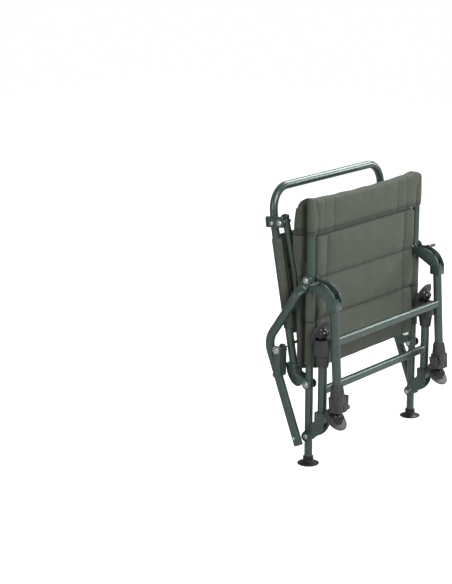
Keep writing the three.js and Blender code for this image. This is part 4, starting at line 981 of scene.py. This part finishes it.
# Backrest cushion: the same cloth and foam, thinner, quilted on its underside and piped at its edges.
# It is sewn to sleeves that are pulled over the backrest tube's sides.
BACK = {"low": 128, "high": 404, "under": 13, "over": 12, "under_x": 240, "over_x": 244, "round": 6,
        "voxel": 0.0055, "seams": (220, 312), "side_seam": 176, "draw": 9, "side_draw": 6, "ripple": 1.6,
        "stitched_below": 0, "held_ends": (126, 134), "pressure": 4, "cap": 7,
        "piping": (136, 200, 300, 396), "inset": (1.5, 2.4), "sleeve": (148, 394)}
BACK_TURN = Matrix.Translation((0, BACK_OFFSET, BACK_PIVOT)) @ Matrix.Rotation(-BACK_LEAN, 4, "X")


def back_swell(spot):
    """Seams draw the underside in."""
    x, y, z = spot
    if y < 0:
        pull = max(channel(z - seam) for seam in BACK["seams"])
        side = hump(abs(x) - BACK["side_seam"], 5)
        y += (BACK["draw"] * pull + BACK["side_draw"] * side * (1 - 0.5 * pull)) * ease(-y, 0, 8)
    ripple = noise.noise(Vector((x / 38 + 11, y / 25, z / 55))) * BACK["ripple"]
    return Vector((x, y + ripple, z))


back_blocks = ((BACK["over_x"], -BACK["under"], BACK["over"], BACK["round"]),)
back_body = padding(BACK, back_blocks, back_swell, lambda spot: held_at(BACK, spot))
in_x, in_y = BACK["inset"]
trims = []
for side, sign in SIDES:
    spots = [(sign * (BACK["over_x"] - in_x), in_y - BACK["under"], z) for z in BACK["piping"]]
    trims += [(1, pipe(spots)), (0, sleeve(sign, *BACK["sleeve"]))]
for _, trim in trims:
    bmesh.ops.transform(trim, matrix=BACK_TURN, verts=trim.verts)
shape(back_body, lambda spot: BACK_TURN @ spot)
sewn("back_pad", back_body, trims,
     olive_cloth("back_cloth", (), (-BACK["side_seam"], BACK["side_seam"]), BACK_LEAN),
     "backrest", ["backrest_cushion"])

# Floor and background: a plain pale studio floor, which the camera sees as white, as it sees the world.
# The light that falls on the chair is softer, and the floor keeps the chair's shadow.
FLOOR_HALF = 6
WHITE = (1, 1, 1, 1)
ROOM_TINT = (0.93, 0.96, 1.0, 1)
ROOM_LIGHT = 0.26
floor_mesh = bmesh.new()
bmesh.ops.create_grid(floor_mesh, x_segments=2, y_segments=2, size=FLOOR_HALF)
floor_data = bpy.data.meshes.new("floor")
floor_mesh.to_mesh(floor_data)
floor_mesh.free()
floor = bpy.data.objects.new("floor", floor_data)
bpy.context.scene.collection.objects.link(floor)
pale = Finish("pale_floor", Base_Color=(0.6, 0.6, 0.6, 1), Roughness=0.9)
seen = pale.node("ShaderNodeLightPath", output="Is Camera Ray")
glow = pale.node("ShaderNodeEmission", {}, {"Color": WHITE, "Strength": 0.85})
lit = pale.node("ShaderNodeBsdfDiffuse", {}, {"Color": (0.9, 0.9, 0.9, 1)})
bright = pale.node("ShaderNodeAddShader", {}, {0: glow, 1: lit})
mixed = pale.node("ShaderNodeMixShader", {}, {0: seen, 1: Wire(pale, pale.shader.outputs[0]), 2: bright})
pale.tree.links.new(mixed.socket, pale.tree.nodes["Material Output"].inputs["Surface"])
floor_data.materials.append(pale.material)

world = bpy.data.worlds.new("studio")
bpy.context.scene.world = world
world.use_nodes = True
room = world.node_tree
backdrop = room.nodes["Background"]
backdrop.inputs["Color"].default_value = ROOM_TINT
backdrop.inputs["Strength"].default_value = ROOM_LIGHT
white = room.nodes.new("ShaderNodeBackground")
white.inputs["Color"].default_value = WHITE
white.inputs["Strength"].default_value = 1.0
rays = room.nodes.new("ShaderNodeLightPath")
choice = room.nodes.new("ShaderNodeMixShader")
room.links.new(rays.outputs["Is Camera Ray"], choice.inputs[0])
room.links.new(backdrop.outputs[0], choice.inputs[1])
room.links.new(white.outputs[0], choice.inputs[2])
room.links.new(choice.outputs[0], room.nodes["World Output"].inputs["Surface"])

# Lamps and camera: four soft square lamps that look at the middle of the chair, and the camera where
# the picture was taken. The rows are (name, place, size, power).
LAMPS = (("key", (-1.0, -2.6, 2.4), 1.5, 56),
         ("fill", (-3.2, 0.2, 1.3), 1.0, 12),
         ("top", (2.0, 0.2, 2.5), 1.3, 36),
         ("side", (2.4, -1.2, 1.4), 1.0, 20))
LAMP_TARGET = Vector((0, 0, 0.4))
CAMERA_SPOT = (-3.732, -2.5076, 1.603)
CAMERA_TURN = math.radians(-51.3)
CAMERA_RISE = math.radians(14.66)
SENSOR = 36
PICTURE_WIDTH = 452
FOCAL_POINTS = 1651
for name, spot, size, power in LAMPS:
    light = bpy.data.lights.new(name, "AREA")
    light.size = size
    light.energy = power
    lamp = bpy.data.objects.new(name, light)
    lamp.location = spot
    lamp.rotation_mode = "QUATERNION"
    lamp.rotation_quaternion = (LAMP_TARGET - Vector(spot)).to_track_quat("-Z", "Y")
    bpy.context.scene.collection.objects.link(lamp)

camera = bpy.data.objects.new("camera", bpy.data.cameras.new("camera"))
bpy.context.scene.collection.objects.link(camera)
back = Vector((math.sin(CAMERA_TURN) * math.cos(CAMERA_RISE), -math.cos(CAMERA_TURN) * math.cos(CAMERA_RISE),
               math.sin(CAMERA_RISE)))
camera.location = CAMERA_SPOT
camera.rotation_mode = "QUATERNION"
camera.rotation_quaternion = (-back).to_track_quat("-Z", "Y")
camera.data.sensor_fit = "HORIZONTAL"
camera.data.sensor_width = SENSOR
camera.data.lens = SENSOR * FOCAL_POINTS / PICTURE_WIDTH
bpy.context.scene.camera = camera
bpy.context.scene.view_settings.view_transform = "Standard"
